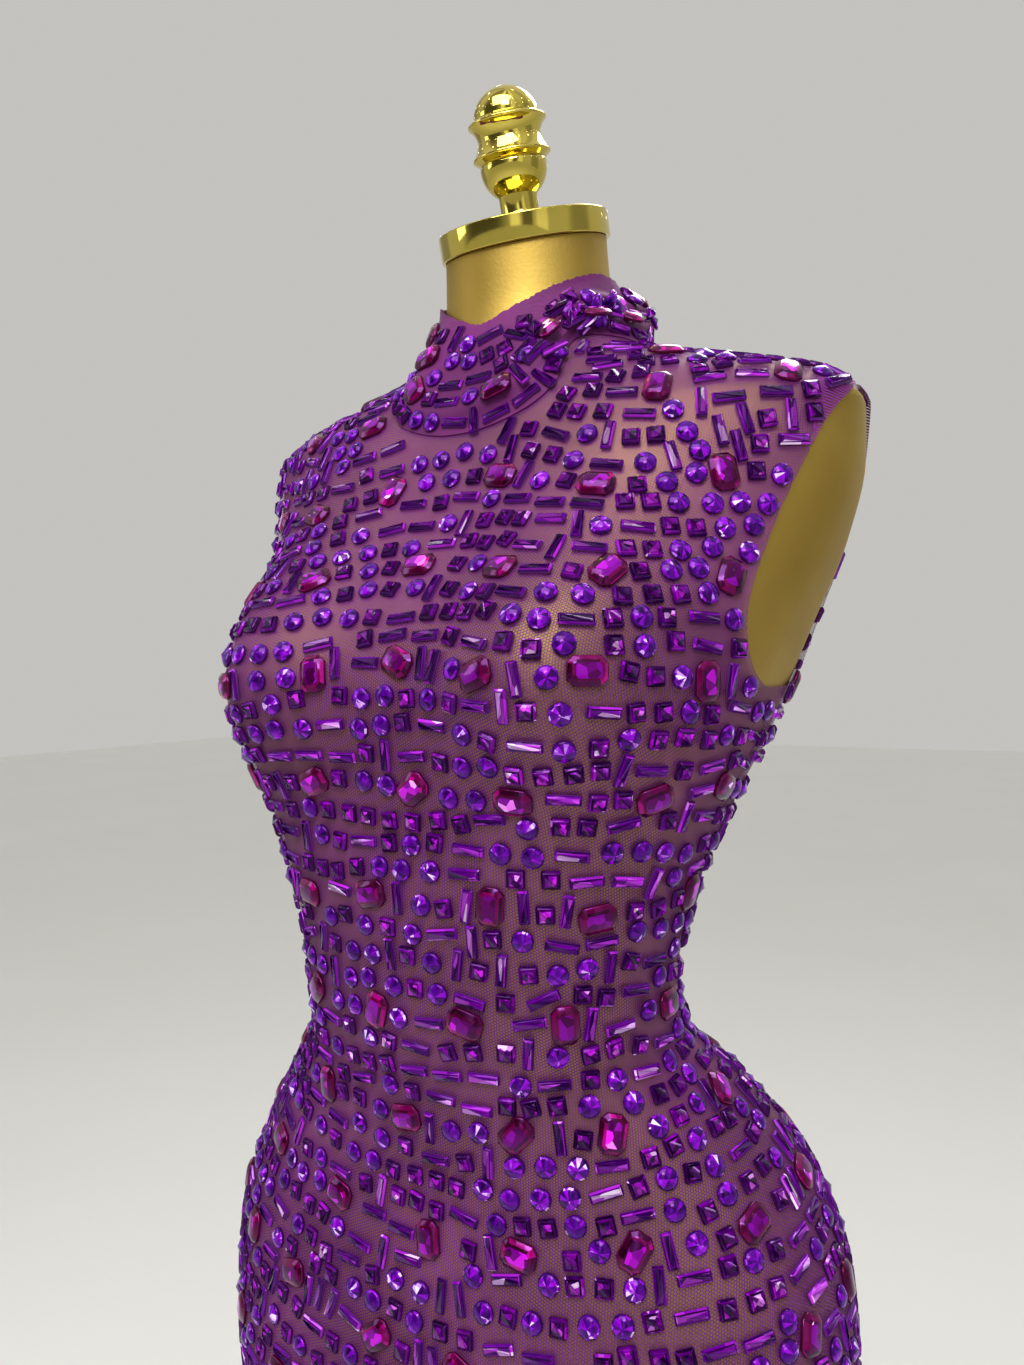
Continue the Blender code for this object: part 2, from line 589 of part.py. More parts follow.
def main():
    for old in list(bpy.data.objects):
        bpy.data.objects.remove(old)
    net = (0.17, 0.02, 0.30)
    satin_gold = (0.55, 0.36, 0.10)
    polished_gold = (0.80, 0.58, 0.20)
    form_torso(satin_gold)
    form_cap(polished_gold)
    form_finial(polished_gold)
    stand(polished_gold)
    panel("dress_front", 0, 180, ARMHOLE_FRONT, net)
    panel("dress_back_right", 180, 270, ARMHOLE_BACK, net)
    panel("dress_back_left", 270, 360, ARMHOLE_BACK, net)
    collar(net)
    zip_coil(net)
    dark_metal = (0.10, 0.05, 0.14)
    slider = zip_slider(dark_metal)
    zip_pull_tab(dark_metal, slider)


main()
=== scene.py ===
from collections import defaultdict, namedtuple
from math import cos, pi, radians, sin, tan

import bmesh
import bpy
import numpy as np
from mathutils import Matrix, Vector


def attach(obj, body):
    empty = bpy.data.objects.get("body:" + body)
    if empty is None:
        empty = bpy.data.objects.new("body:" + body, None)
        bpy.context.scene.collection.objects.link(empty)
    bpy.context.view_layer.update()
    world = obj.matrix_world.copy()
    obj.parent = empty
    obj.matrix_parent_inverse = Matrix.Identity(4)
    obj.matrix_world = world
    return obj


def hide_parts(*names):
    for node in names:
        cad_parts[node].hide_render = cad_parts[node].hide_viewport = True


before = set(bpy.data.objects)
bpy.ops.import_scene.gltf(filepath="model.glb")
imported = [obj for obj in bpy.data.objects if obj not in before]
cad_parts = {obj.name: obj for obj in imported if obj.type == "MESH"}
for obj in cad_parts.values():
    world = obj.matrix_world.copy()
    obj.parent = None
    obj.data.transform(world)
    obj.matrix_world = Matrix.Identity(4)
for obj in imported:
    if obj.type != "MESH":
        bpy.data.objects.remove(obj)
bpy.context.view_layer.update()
dressBody = "dress_and_form"


def namedRows(columns, *rows):  # rows whose values have names
    row = namedtuple("row", columns)
    return [row(*values) for values in rows]


# Sizes that the looks share with the solids, in metres and degrees
body = {
    "hem": 0.070, "formBottom": 0.700, "yoke": 1.345,
    "neckSide": 1.428, "neckFront": 1.366, "neckBack": 1.424, "neckScoop": 8,
    "armholeBottom": 1.217, "armholeTop": 1.382, "armholeFront": 28, "armholeBack": 22,
    "armholeEase": 45, "armholeLift": 0.0015,
    "collarFront": 1.437, "collarSide": 1.471, "collarBack": 1.476,
    "collarStand": 0.0030, "collarWall": 0.0016, "collarHug": 0.0060, "hugAt": (0, 180), "hugWide": 26,
    "collarSlouch": 0.0140, "slouchAt": (318, 222), "slouchWide": 24,
    "formGap": 0.0007, "seamGap": 0.0003,
    "zipBottom": 0.880, "zipHalf": 0.0028, "zipEndTaper": 0.008,
    "neckTop": 1.500, "capTilt": radians(16), "capRadius": 0.0555, "capThick": 0.0160,
}

sections = namedRows(
    "height halfWidth front back centre frontSquare backSquare",
    (0.04, 0.188, 0.124, 0.13, 0, 2, 2),
    (0.15, 0.18, 0.116, 0.122, 0, 2, 2),
    (0.3, 0.17, 0.104, 0.11, 0, 2.1, 2.1),
    (0.48, 0.166, 0.097, 0.102, 0, 2.1, 2.1),
    (0.6, 0.176, 0.099, 0.107, 0, 2.2, 2.1),
    (0.7, 0.192, 0.103, 0.119, 0.001, 2.2, 2.1),
    (0.78, 0.203, 0.108, 0.134, 0.002, 2.3, 2.1),
    (0.83, 0.205, 0.11, 0.139, 0.005, 2.3, 2.2),
    (0.88, 0.2, 0.111, 0.132, 0.012, 2.4, 2.3),
    (0.93, 0.182, 0.109, 0.115, 0.017, 2.3, 2.3),
    (0.98, 0.147, 0.103, 0.091, 0.008, 2.2, 2.3),
    (1.02, 0.117, 0.086, 0.077, -0.016, 2.2, 2.2),
    (1.05, 0.117, 0.085, 0.078, -0.021, 2.2, 2.1),
    (1.1, 0.127, 0.09, 0.083, -0.02, 2.2, 2.2),
    (1.15, 0.145, 0.093, 0.091, -0.009, 2.3, 2.3),
    (1.2, 0.166, 0.094, 0.096, 0.006, 2.3, 2.4),
    (1.25, 0.183, 0.093, 0.098, 0.022, 2.2, 2.5),
    (1.3, 0.199, 0.088, 0.097, 0.04, 2.1, 2.6),
    (1.345, 0.209, 0.085, 0.086, 0.046, 2.1, 2.6),
    (1.375, 0.21, 0.079, 0.077, 0.046, 2, 2.5),
    (1.389, 0.196, 0.074, 0.072, 0.045, 1.8, 2),
    (1.404, 0.15, 0.068, 0.068, 0.044, 1.6, 1.6),
    (1.418, 0.096, 0.062, 0.064, 0.046, 1.7, 1.7),
    (1.432, 0.069, 0.059, 0.061, 0.045, 1.8, 1.8),
    (1.46, 0.056, 0.053, 0.055, 0.041, 1.9, 1.9),
    (1.53, 0.052, 0.05, 0.05, 0.036, 2, 2),
)
cup = {"out": 0.095, "height": 1.235, "reach": 0.064, "across": 0.050, "above": 0.070, "below": 0.050,
       "bridge": 0.021, "span": 0.034}

skirtFolds = namedRows(
    "angle width depth start",
    (22, 9, 0.018, 0.66),
    (46, 9, -0.012, 0.6),
    (68, 9, 0.019, 0.7),
    (93, 10, -0.013, 0.58),
    (117, 9, 0.02, 0.69),
    (141, 9, -0.012, 0.6),
    (163, 9, 0.018, 0.66),
    (187, 9, -0.01, 0.56),
    (212, 10, 0.019, 0.68),
    (238, 9, -0.012, 0.6),
    (260, 9, 0.018, 0.66),
    (285, 9, -0.013, 0.58),
    (308, 9, 0.02, 0.69),
    (334, 9, -0.011, 0.6),
)

# From one angle and share of the height to another; the last seven are narrow and only on the looks
collarFolds = namedRows(
    "fromAngle fromPart toAngle toPart depth width",
    (100, 0.3, 15, 0.8, 0.003, 0.13),
    (60, 0.2, -20, 0.5, 0.0024, 0.12),
    (165, 0.55, 110, 0.5, 0.002, 0.14),
    (225, 0.35, 185, 0.65, 0.0028, 0.14),
    (340, 0.7, 300, 0.3, 0.003, 0.14),
    (98, 0.16, 10, 0.62, 0.0042, 0.06),
    (70, 0.12, -25, 0.34, 0.0034, 0.055),
    (45, 0.7, -35, 0.52, 0.003, 0.06),
    (190, 0.62, 128, 0.24, 0.003, 0.06),
    (250, 0.24, 188, 0.46, 0.0034, 0.06),
    (345, 0.26, 288, 0.6, 0.0036, 0.06),
    (240, 0.72, 205, 0.56, 0.0026, 0.055),
)

# Small ridges where the net is bunched, in degrees and metres, with their rise per degree
creases = namedRows(
    "angle height halfAngle width depth climb",
    (318, 1.008, 26, 0.005, 0.0026, 0.0002),
    (338, 1.026, 20, 0.0045, 0.0022, -0.0003),
    (300, 1.036, 22, 0.005, 0.0024, 0.00012),
    (352, 1.002, 15, 0.004, 0.0016, 0.00035),
    (222, 1.012, 25, 0.005, 0.0025, -0.00022),
    (203, 1.03, 18, 0.0045, 0.002, 0.0003),
    (243, 1.04, 20, 0.005, 0.0022, -0.0001),
    (8, 1.044, 14, 0.004, 0.0012, 0.0004),
    (171, 1.04, 14, 0.004, 0.0012, -0.0004),
    (24, 1.196, 13, 0.005, 0.0014, 0.0011),
    (156, 1.194, 13, 0.005, 0.0013, -0.00105),
    (340, 1.19, 15, 0.005, 0.0014, -0.0009),
    (201, 1.188, 15, 0.005, 0.0014, 0.00085),
)


# Shape of the figure and of the cloth on it
def smoothCurve(knots, values, at):  # monotone cubic, so nothing overshoots between two sections
    knots = np.asarray(knots, float)
    values = np.asarray(values, float)
    step = np.diff(knots)
    slope = np.diff(values) / step
    before, after = slope[:-1], slope[1:]
    steady = before * after > 0
    near = 2 * step[1:] + step[:-1]
    far = step[1:] + 2 * step[:-1]
    tangent = np.zeros(len(knots))
    safeBefore = np.where(steady, before, 1)
    safeAfter = np.where(steady, after, 1)
    tangent[1:-1] = np.where(steady, (near + far) / (near / safeBefore + far / safeAfter), 0)
    tangent[0] = slope[0]
    tangent[-1] = slope[-1]
    place = np.clip(np.searchsorted(knots, at) - 1, 0, len(step) - 1)
    width = step[place]
    t = (at - knots[place]) / width
    start = values[place] * (1 + 2 * t) * (1 - t) ** 2 + width * tangent[place] * t * (1 - t) ** 2
    end = values[place + 1] * t * t * (3 - 2 * t) + width * tangent[place + 1] * t * t * (t - 1)
    return start + end


def sine(degrees):
    return np.sin(np.radians(degrees))


def unit(vectors):
    return vectors / np.linalg.norm(vectors, axis=-1, keepdims=True)


def running(points, axis=0):  # the length so far along lines of points
    steps = np.linalg.norm(np.diff(points, axis=axis), axis=-1)
    return np.insert(np.cumsum(steps, axis=axis), 0, 0, axis=axis)


def pointAt(length, lengths, points):
    return [np.interp(length, lengths, column) for column in points.T]


def bell(distance, width):
    return np.exp(-((distance / width) ** 2) / 2)


def turnBetween(angle, other):
    return (angle - other + 180) % 360 - 180


def figure(height, angle):  # angle 0 is the left side (+X), 90 the front and 270 the back
    heights = [row.height for row in sections]
    halfWidth, front, back, centre, frontSquare, backSquare = (
        smoothCurve(heights, [row[column] for row in sections], height) for column in range(1, 7)
    )
    side = np.cos(np.radians(angle))
    ahead = sine(angle)
    depth = np.where(ahead > 0, front, back)
    square = np.where(ahead > 0, frontSquare, backSquare)
    x = halfWidth * np.sign(side) * np.abs(side) ** (2 / square)
    y = centre - depth * np.sign(ahead) * np.abs(ahead) ** (2 / square)
    rise = height - cup["height"]
    rise = np.where(rise > 0, rise / cup["above"], rise / cup["below"])
    out, reach, across = cup["out"], cup["reach"], cup["across"]
    for middle, stand, wide in ((-out, reach, across), (out, reach, across), (0, cup["bridge"], cup["span"])):
        swell = bell((x - middle) / wide, 1) * bell(rise, 1)
        y = y - np.where(ahead > 0, stand * swell, 0)
    return np.stack([x, y, height + 0 * x], axis=-1)


def outward(surface, height, angle):
    up = surface(height + 0.001, angle) - surface(height - 0.001, angle)
    around = surface(height, angle + 1) - surface(height, angle - 1)
    return unit(np.cross(up, around))


def draped(height, angle):  # the body's surface with the skirt's folds and the small creases
    points = figure(height, angle)
    wave = np.zeros(np.shape(points)[:-1])
    for fold in skirtFolds:
        growth = np.clip((fold.start - height) / (fold.start - body["hem"]), 0, 1)
        wave = wave + fold.depth * growth ** 1.3 * bell(turnBetween(angle, fold.angle), fold.width)
    for crease in creases:
        along = turnBetween(angle, crease.angle)
        fade = np.clip(1 - (along / crease.halfAngle) ** 2, 0, 1)
        wave = wave + crease.depth * fade * bell(height - crease.height - crease.climb * along, crease.width)
    return points + wave[..., None] * outward(figure, height, angle)


def lifted(surface, height, angle, lift):
    return surface(height, angle) + np.asarray(lift)[..., None] * outward(surface, height, angle)


def neckline(angle):
    ahead = sine(angle)
    dip = body["neckSide"] - np.where(ahead > 0, body["neckFront"], body["neckBack"])
    return body["neckSide"] - dip * np.abs(ahead) ** np.where(ahead > 0, body["neckScoop"], 2)


def collarTop(angle):
    ahead = sine(angle)
    side, front = body["collarSide"], body["collarFront"]
    front = front + (side - front) * np.abs(np.cos(np.radians(angle))) ** 1.3
    back = side + (body["collarBack"] - side) * np.abs(ahead)
    return np.where(ahead > 0, front, back)


def collarSheet(part, angle):  # part 0 is the collar's seam and 1 its top edge
    wall = body["collarWall"]
    seam = lifted(figure, neckline(angle), angle, body["formGap"] + wall / 2)
    top = lifted(figure, collarTop(angle), angle, body["collarStand"] + wall / 2)
    away = unit(outward(figure, neckline(angle), angle) + outward(figure, collarTop(angle), angle))
    slouch = sum(bell(turnBetween(angle, place), body["slouchWide"]) for place in body["slouchAt"])
    hug = sum(bell(turnBetween(angle, place), body["hugWide"]) for place in body["hugAt"])
    inside = np.sin(pi * np.clip(part, 0, 1))
    bow = (body["collarSlouch"] * slouch - body["collarHug"] * hug) * inside
    for fold in collarFolds:
        middle = (fold.fromAngle + fold.toAngle) / 2
        half = abs(fold.fromAngle - fold.toAngle) / 2
        along = turnBetween(angle, middle)
        crest = (fold.fromPart + fold.toPart) / 2
        crest = crest + (fold.fromPart - fold.toPart) / 2 * along / (fold.fromAngle - middle)
        fade = np.clip(1 - (along / (half * 1.3)) ** 2, 0, 1)
        bow = bow + fold.depth * fade * np.clip(inside * 2, 0, 1) * bell(part - crest, fold.width)
    share = np.asarray(part)[..., None]
    return seam * (1 - share) + top * share + bow[..., None] * away


def collarOutward(part, angle):
    up = collarSheet(part + 0.02, angle) - collarSheet(part - 0.02, angle)
    around = collarSheet(part, angle + 1.5) - collarSheet(part, angle - 1.5)
    share = np.clip(part / 0.25, 0, 1)[..., None]
    return unit(unit(np.cross(up, around)) * share + outward(figure, neckline(angle), angle) * (1 - share))


def armholeEdge(height, widest):  # degrees from the side line to the armhole's edge
    middle = (body["armholeTop"] + body["armholeBottom"]) / 2
    reach = (body["armholeTop"] - body["armholeBottom"]) / 2
    return widest * np.clip(1 - np.abs((height - middle) / reach) ** 2.2, 0, 1) ** 0.5


def easedOff(edge):  # how far the cloth is eased off the body beside an armhole
    return body["armholeLift"] * np.clip(edge / 2, 0, 1)


# Shader maths
class Value:  # a node's output, which joins in sums with others and with numbers
    def __init__(self, paint, socket):
        self.paint = paint
        self.socket = socket

    def combine(self, operation, first, second=0.0):
        return self.paint.add("ShaderNodeMath", {"operation": operation}, {0: first, 1: second})

    def __add__(self, other):
        return self.combine("ADD", self, other)

    def __sub__(self, other):
        return self.combine("SUBTRACT", self, other)

    def __rsub__(self, other):
        return self.combine("SUBTRACT", other, self)

    def __mul__(self, other):
        return self.combine("MULTIPLY", self, other)

    def __truediv__(self, other):
        return self.combine("DIVIDE", self, other)

    __radd__ = __add__
    __rmul__ = __mul__


class Paint:  # a material or a world with one shader, and a method that adds any node to it
    def __init__(self, name, world=False):
        self.made = (bpy.data.worlds if world else bpy.data.materials).new(name)
        self.made.use_nodes = True
        self.tree = self.made.node_tree
        self.shader = self.tree.nodes["Background" if world else "Principled BSDF"]

    def link(self, node, key, value):
        if isinstance(value, Value):
            self.tree.links.new(value.socket, node.inputs[key])
        else:
            node.inputs[key].default_value = value

    def add(self, kind, settings=None, sockets=None, out=0):
        node = self.tree.nodes.new(kind)
        for key, value in (settings or {}).items():
            if key == "stops":
                setStops(node.color_ramp, value)
            else:
                setattr(node, key, value)
        for key, value in (sockets or {}).items():
            self.link(node, key, value)
        return Value(self, node.outputs[out])

    def mix(self, factor, first, second):
        return self.add("ShaderNodeMix", {"data_type": "RGBA"}, {0: factor, 6: first, 7: second}, 2)

    def smooth(self, value, low, high):
        sockets = {0: value, 1: low, 2: high}
        return self.add("ShaderNodeMapRange", {"interpolation_type": "SMOOTHSTEP"}, sockets)

    def noise(self, scale, detail=2.0):
        place = self.add("ShaderNodeTexCoord", out="Object")
        return self.add("ShaderNodeTexNoise", None, {"Vector": place, "Scale": scale, "Detail": detail})

    def cells(self, sockets, out):
        return self.add("ShaderNodeTexVoronoi", {"voronoi_dimensions": "2D"}, sockets, out)

    def ramp(self, value, stops):
        return self.add("ShaderNodeValToRGB", {"stops": stops}, {0: value}, "Color")

    def dot(self, first, second):
        return self.add("ShaderNodeVectorMath", {"operation": "DOT_PRODUCT"}, {0: first, 1: second}, "Value")

    def bump(self, strength, distance, height):
        sockets = {"Strength": strength, "Distance": distance, "Height": height}
        return self.add("ShaderNodeBump", None, sockets)

    def set(self, **sockets):
        for key, value in sockets.items():
            self.link(self.shader, key.replace("_", " "), value)
        return self.made


def setStops(ramp, stops):
    while len(ramp.elements) < len(stops):
        ramp.elements.new(0.5)
    for element, (place, *colour) in zip(ramp.elements, stops):
        element.position = place
        element.color = rgb(*colour)


def rgb(red, green, blue):
    return (red, green, blue, 1.0)


def satinGoldPaint():
    look = {"base": rgb(0.43, 0.295, 0.066), "shade": rgb(0.35, 0.235, 0.048), "mottle": 9.0, "grain": 420.0}
    paint = Paint("satinGold")
    mottle = paint.noise(look["mottle"], 3.0)
    return paint.set(Base_Color=paint.mix(paint.smooth(mottle, 0.35, 0.65), look["base"], look["shade"]),
                     Metallic=1.0, Roughness=mottle * 0.08 + 0.50,
                     Normal=paint.bump(0.22, 0.0005, paint.noise(look["grain"])))


def polishedGoldPaint():
    look = {"base": rgb(0.62, 0.50, 0.095), "worn": rgb(0.50, 0.40, 0.070), "smears": 30.0, "ripple": 55.0}
    paint = Paint("polishedGold")
    smears = paint.noise(look["smears"], 4.0)
    return paint.set(Base_Color=paint.mix(paint.smooth(smears, 0.45, 0.75), look["base"], look["worn"]),
                     Metallic=1.0, Roughness=smears * 0.10 + 0.03,
                     Normal=paint.bump(0.06, 0.001, paint.noise(look["ripple"], 1.0)))


def netPattern(paint, pitch):  # three crossed waves: peaks in the holes of a hexagonal net
    place = paint.add("ShaderNodeUVMap", {"uv_map": "flat"})
    waves = None
    for turn in (0, 60, 120):
        across = paint.dot(place, (cos(radians(turn)), sin(radians(turn)), 0))
        wave = across.combine("COSINE", across * (2 * pi / (pitch * cos(radians(30)))))
        waves = wave if waves is None else waves + wave
    return waves


def netTone(paint, look):
    tone = paint.smooth(paint.noise(look["tone"], 3.0), 0.3, 0.7)
    return paint.mix(tone, look["thread"], look["light"])


def netPaint():
    look = {"pitch": 0.0017, "holeFrom": -1.12, "holeTo": -0.62, "thinnest": 0.04, "tone": 14.0,
            "thread": rgb(0.160, 0.012, 0.175), "light": rgb(0.240, 0.026, 0.250)}
    paint = Paint("stretchNet")
    hole = paint.smooth(netPattern(paint, look["pitch"]), look["holeFrom"], look["holeTo"])
    return paint.set(Base_Color=netTone(paint, look), Roughness=0.55, Specular_IOR_Level=0.2,
                     Sheen_Weight=0.05, Alpha=1 - hole * (1 - look["thinnest"]),
                     Normal=paint.bump(0.5, 0.0003, 1 - hole))


def doubledNetPaint():
    look = {"pitch": 0.0015, "under": rgb(0.045, 0.005, 0.060), "tone": 22.0,
            "thread": rgb(0.092, 0.006, 0.080), "light": rgb(0.145, 0.012, 0.125)}
    paint = Paint("doubledNet")
    waves = netPattern(paint, look["pitch"])
    # the under colour paints shade into the holes, where the layer beneath shows through
    shaded = paint.mix(paint.smooth(waves, 1.0, 2.6) * 0.45, netTone(paint, look), look["under"])
    return paint.set(Base_Color=shaded, Roughness=0.6, Specular_IOR_Level=0.2, Sheen_Weight=0.06,
                     Normal=paint.bump(0.4, 0.0002, 1 - waves * 0.3))


def stonePaint(name, look):  # foil-backed stone: facets with painted inner reflections and sparkle of unlike depth, and a painted glow, under a clear skin
    paint = Paint(name)
    uv = paint.add("ShaderNodeUVMap", {"uv_map": "flat"})
    stretched = paint.add("ShaderNodeMapping", None, {"Vector": uv, "Scale": look["stretch"]})
    cells = {"Vector": stretched, "Scale": look["cells"], "Randomness": 1.0}
    inner = paint.add("ShaderNodeSeparateColor", None, {0: paint.cells(cells, "Color")})
    edge = paint.cells(dict(cells, Scale=look["cells"] * 2.3), "Distance")
    facet, tone, side, table = (
        paint.add("ShaderNodeAttribute", {"attribute_name": part}, None, "Fac")
        for part in ("facet", "tone", "side", "table")
    )
    # the random brightness of each facet, sparkle cell and stone picks the colour: painted inner reflections
    # and sparkle, with painted glints at the bright end of each ramp
    crown = paint.ramp(facet * 0.74 + inner * 0.20 + tone * 0.10, look["crown"])
    top = paint.ramp(inner * 0.80 + tone * 0.25, look.get("top", look["crown"]))
    paintedSparkle = paint.mix(side, paint.mix(table, crown, top), look["side"])
    # the emission is a painted glow that keeps the stones bright in shade as well
    return paint.set(Base_Color=paintedSparkle, Metallic=side * 0.6, Roughness=0.12, IOR=1.5,
                     Normal=paint.bump(0.12, 0.0004, edge), Specular_Tint=rgb(0.65, 0.12, 1.0),
                     Coat_Weight=0.08, Coat_Roughness=0.02, Coat_IOR=1.6,
                     Emission_Color=paintedSparkle, Emission_Strength=look["paintedGlow"])


# Each kind of stone, with its colours from deep to bright: a place on the ramp, then red, green and blue. The
# bright colours are painted inner reflections, the near-white last stops are painted glints, and the glow
# value sets the strength of a painted glow
stoneLooks = {
    "round": {
        "crown": ((0.10, 0.006, 0, 0.024), (0.38, 0.030, 0, 0.105), (0.66, 0.062, 0, 0.190),
                  (0.88, 0.240, 0.002, 0.530), (0.98, 0.80, 0.60, 0.90)),
        "side": rgb(0.05, 0.004, 0.10), "cells": 420.0, "stretch": (1, 1, 1), "paintedGlow": 0.26,
    },
    "square": {
        "crown": ((0.10, 0.004, 0, 0.009), (0.50, 0.018, 0, 0.042), (0.80, 0.088, 0, 0.165),
                  (0.94, 0.300, 0.004, 0.450), (1.0, 0.75, 0.45, 0.85)),
        "top": ((0.15, 0.010, 0, 0.028), (0.45, 0.056, 0, 0.110), (0.72, 0.230, 0, 0.390),
                (0.90, 0.65, 0.02, 0.80), (1.0, 0.95, 0.65, 1.0)),
        "side": rgb(0.05, 0.006, 0.075), "cells": 340.0, "stretch": (1, 1, 1), "paintedGlow": 0.28,
    },
    "bar": {
        "crown": ((0.10, 0.010, 0, 0.028), (0.42, 0.034, 0, 0.080), (0.72, 0.095, 0, 0.210),
                  (0.90, 0.420, 0.020, 0.600), (1.0, 0.88, 0.66, 0.93)),
        "top": ((0.15, 0.012, 0, 0.040), (0.42, 0.048, 0, 0.125), (0.66, 0.170, 0, 0.330),
                (0.85, 0.600, 0.06, 0.82), (1.0, 0.95, 0.78, 1.0)),
        "side": rgb(0.13, 0.03, 0.19), "cells": 420.0, "stretch": (0.22, 1, 1), "paintedGlow": 0.26,
    },
    "octagon": {
        "crown": ((0.10, 0.010, 0, 0.003), (0.50, 0.045, 0, 0.014), (0.80, 0.115, 0, 0.045),
                  (0.97, 0.360, 0, 0.180)),
        "top": ((0.15, 0.030, 0, 0.024), (0.45, 0.068, 0, 0.070), (0.72, 0.160, 0, 0.250),
                (0.92, 0.65, 0.01, 0.75), (1.0, 1.0, 0.60, 1.0)),
        "side": rgb(0.08, 0.004, 0.03), "cells": 210.0, "stretch": (1, 1, 1), "paintedGlow": 0.20,
    },
}


# Meshes
def newObject(name, data):
    made = bpy.data.objects.new(name, data)
    bpy.context.scene.collection.objects.link(made)
    return made


def finish(name, mesh, paint, slot=None, replaced=None):
    piece = newObject(name, mesh)
    mesh.materials.append(paint)
    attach(piece, dressBody)
    if slot:
        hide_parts(replaced)
    return piece


def gridCell(vertex, rows, columns):
    return round((vertex.co.y + 0.5) * (rows - 1)), round((vertex.co.x + 0.5) * (columns - 1))


def clothWall(walls, yokeRow=None):  # two faces of points on one grid, closed, with their flat lengths as UV
    inner, outer = walls
    flat = flatLengths(outer, yokeRow)
    rows, columns = inner.shape[:2]
    bm = bmesh.new()
    bmesh.ops.create_grid(bm, x_segments=columns - 1, y_segments=rows - 1, size=0.5)
    made = bmesh.ops.extrude_face_region(bm, geom=bm.faces[:])
    raised = {item for item in made["geom"] if isinstance(item, bmesh.types.BMVert)}
    uv = bm.loops.layers.uv.new("flat")
    place = {vertex: gridCell(vertex, rows, columns) for vertex in bm.verts}
    for vertex, cell in place.items():
        vertex.co = (outer if vertex in raised else inner)[cell]
    for face in bm.faces:
        for loop in face.loops:
            loop[uv].uv = flat[place[loop.vert]]
    bmesh.ops.recalc_face_normals(bm, faces=bm.faces[:])
    if bm.calc_volume(signed=True) < 0:
        bmesh.ops.reverse_faces(bm, faces=bm.faces[:])
    return meshOf(bm, 50)


def meshOf(bm, sharp=35):
    mesh = bpy.data.meshes.new("made")
    bm.to_mesh(mesh)
    bm.free()
    mesh.shade_smooth()
    mesh.set_sharp_from_angle(angle=radians(sharp))
    return mesh


def flatLengths(points, yokeRow=None):  # lengths along the rows, from the middle column, and up the columns
    along = running(points, axis=1)
    along = along - along[:, along.shape[1] // 2][:, None]
    up = running(points)
    waist = int(len(points) * 0.6)
    up = up - up[waist] + up[waist].mean()
    if yokeRow is not None:  # above the yoke the cloth goes straight up and over the shoulder
        order = slice(None, None, 1 if points[yokeRow, -1, 0] > points[yokeRow, 0, 0] else -1)
        yokeX = points[yokeRow, order, 0]
        for row in range(yokeRow + 1, len(points)):
            x = points[row, :, 0]
            below = points[row - 1, order]
            under = np.stack([np.interp(x, below[:, 0], below[:, axis]) for axis in (1, 2)], axis=-1)
            climb = np.linalg.norm(points[row, :, 1:] - under, axis=-1)
            along[row] = np.interp(x, yokeX, along[yokeRow, order])
            up[row] = np.interp(x, below[:, 0], up[row - 1, order]) + climb
    return np.stack([along, up], axis=-1)


def spun(profile, steps):  # a shape turned about Z, from points of radius and height that begin and end on it
    bm = bmesh.new()
    points = [bm.verts.new((radius, 0, height)) for radius, height in profile]
    edges = [bm.edges.new(pair) for pair in zip(points, points[1:])]
    bmesh.ops.spin(bm, geom=points + edges, cent=(0, 0, 0), axis=(0, 0, 1), angle=2 * pi, steps=steps,
                   use_merge=True)
    bmesh.ops.remove_doubles(bm, verts=bm.verts[:], dist=1e-6)
    bmesh.ops.recalc_face_normals(bm, faces=bm.faces[:])
    return bm


def arc(centre, radius, start, end, points):
    angles = np.radians(np.linspace(start, end, points))
    return [(centre[0] + radius * cos(a), centre[1] + radius * sin(a)) for a in angles]


# The dress's net
cloth = {
    "innerLift": 0.0010, "wall": 0.0004, "rowStep": 0.0075, "columnStep": 2.25,
    "armholeRows": 34, "yokeRows": 16, "rawEdge": 0.0005,
    "collarStep": 0.75, "collarRows": 26, "collarHalf": 0.0006,
}


def clothRows():  # level rows to the yoke, and above it the parts of the way to the neckline
    low, high, yoke = body["armholeBottom"], body["armholeTop"], body["yoke"]
    levels = np.arange(body["hem"], low - 0.004, cloth["rowStep"])
    turn = np.linspace(0, pi, cloth["armholeRows"])
    ring = (low + high) / 2 - (high - low) / 2 * np.cos(turn)
    levels = np.concatenate([levels, ring[ring < yoke - 0.002], [yoke]])
    parts = (ring[ring > yoke + 0.001] - yoke) / (body["neckSide"] - yoke)
    rest = np.linspace(parts[-1], 1, cloth["yokeRows"])[1:]
    return levels, np.concatenate([parts, rest])


def clothGrid(angles, topGap=0.0):
    levels, parts = clothRows()
    top = neckline(angles) - topGap
    rows = [np.full(len(angles), level) for level in levels]
    rows += [body["yoke"] + part * (top - body["yoke"]) for part in parts]
    return np.array(rows)


def rawEdge(count, seed):  # small uneven steps along a cut edge
    waves = np.random.default_rng(seed).normal(0, 1, count)
    return np.convolve(waves, [0.25, 0.5, 0.25], "same") * cloth["rawEdge"]


def dressPanel(name, first, last, widest, paint):
    angles = np.arange(first, last + 0.01, cloth["columnStep"])
    heights = clothGrid(angles, body["seamGap"] / 2)
    side = np.where(angles - first < last - angles, first, last)
    side = np.where(side == 270, first + last - 270, side)
    fromSide = np.abs(angles - side)
    ease = body["armholeEase"]
    edge = armholeEdge(heights, widest)
    eased = edge + (ease - edge) * fromSide / ease
    placed = side + np.where(side == first, 1, -1) * np.where(fromSide < ease, eased, fromSide)
    loose = easedOff(edge) * np.clip(1 - fromSide / ease, 0, 1)
    hem = heights.copy()
    hem[0] += rawEdge(len(angles), first)
    walls = []
    for lift in (cloth["innerLift"], cloth["innerLift"] + cloth["wall"]):
        points = lifted(draped, hem, placed, lift + loose)
        for column, angle in ((0, first), (-1, last)):
            points[:, column] += edgeShift(first, angle, heights[:, column], edge[:, column])
        walls.append(points)
    yokeRow = len(clothRows()[0]) - 1
    piece = finish(name + "_net", clothWall(walls, yokeRow), paint, "net", name)


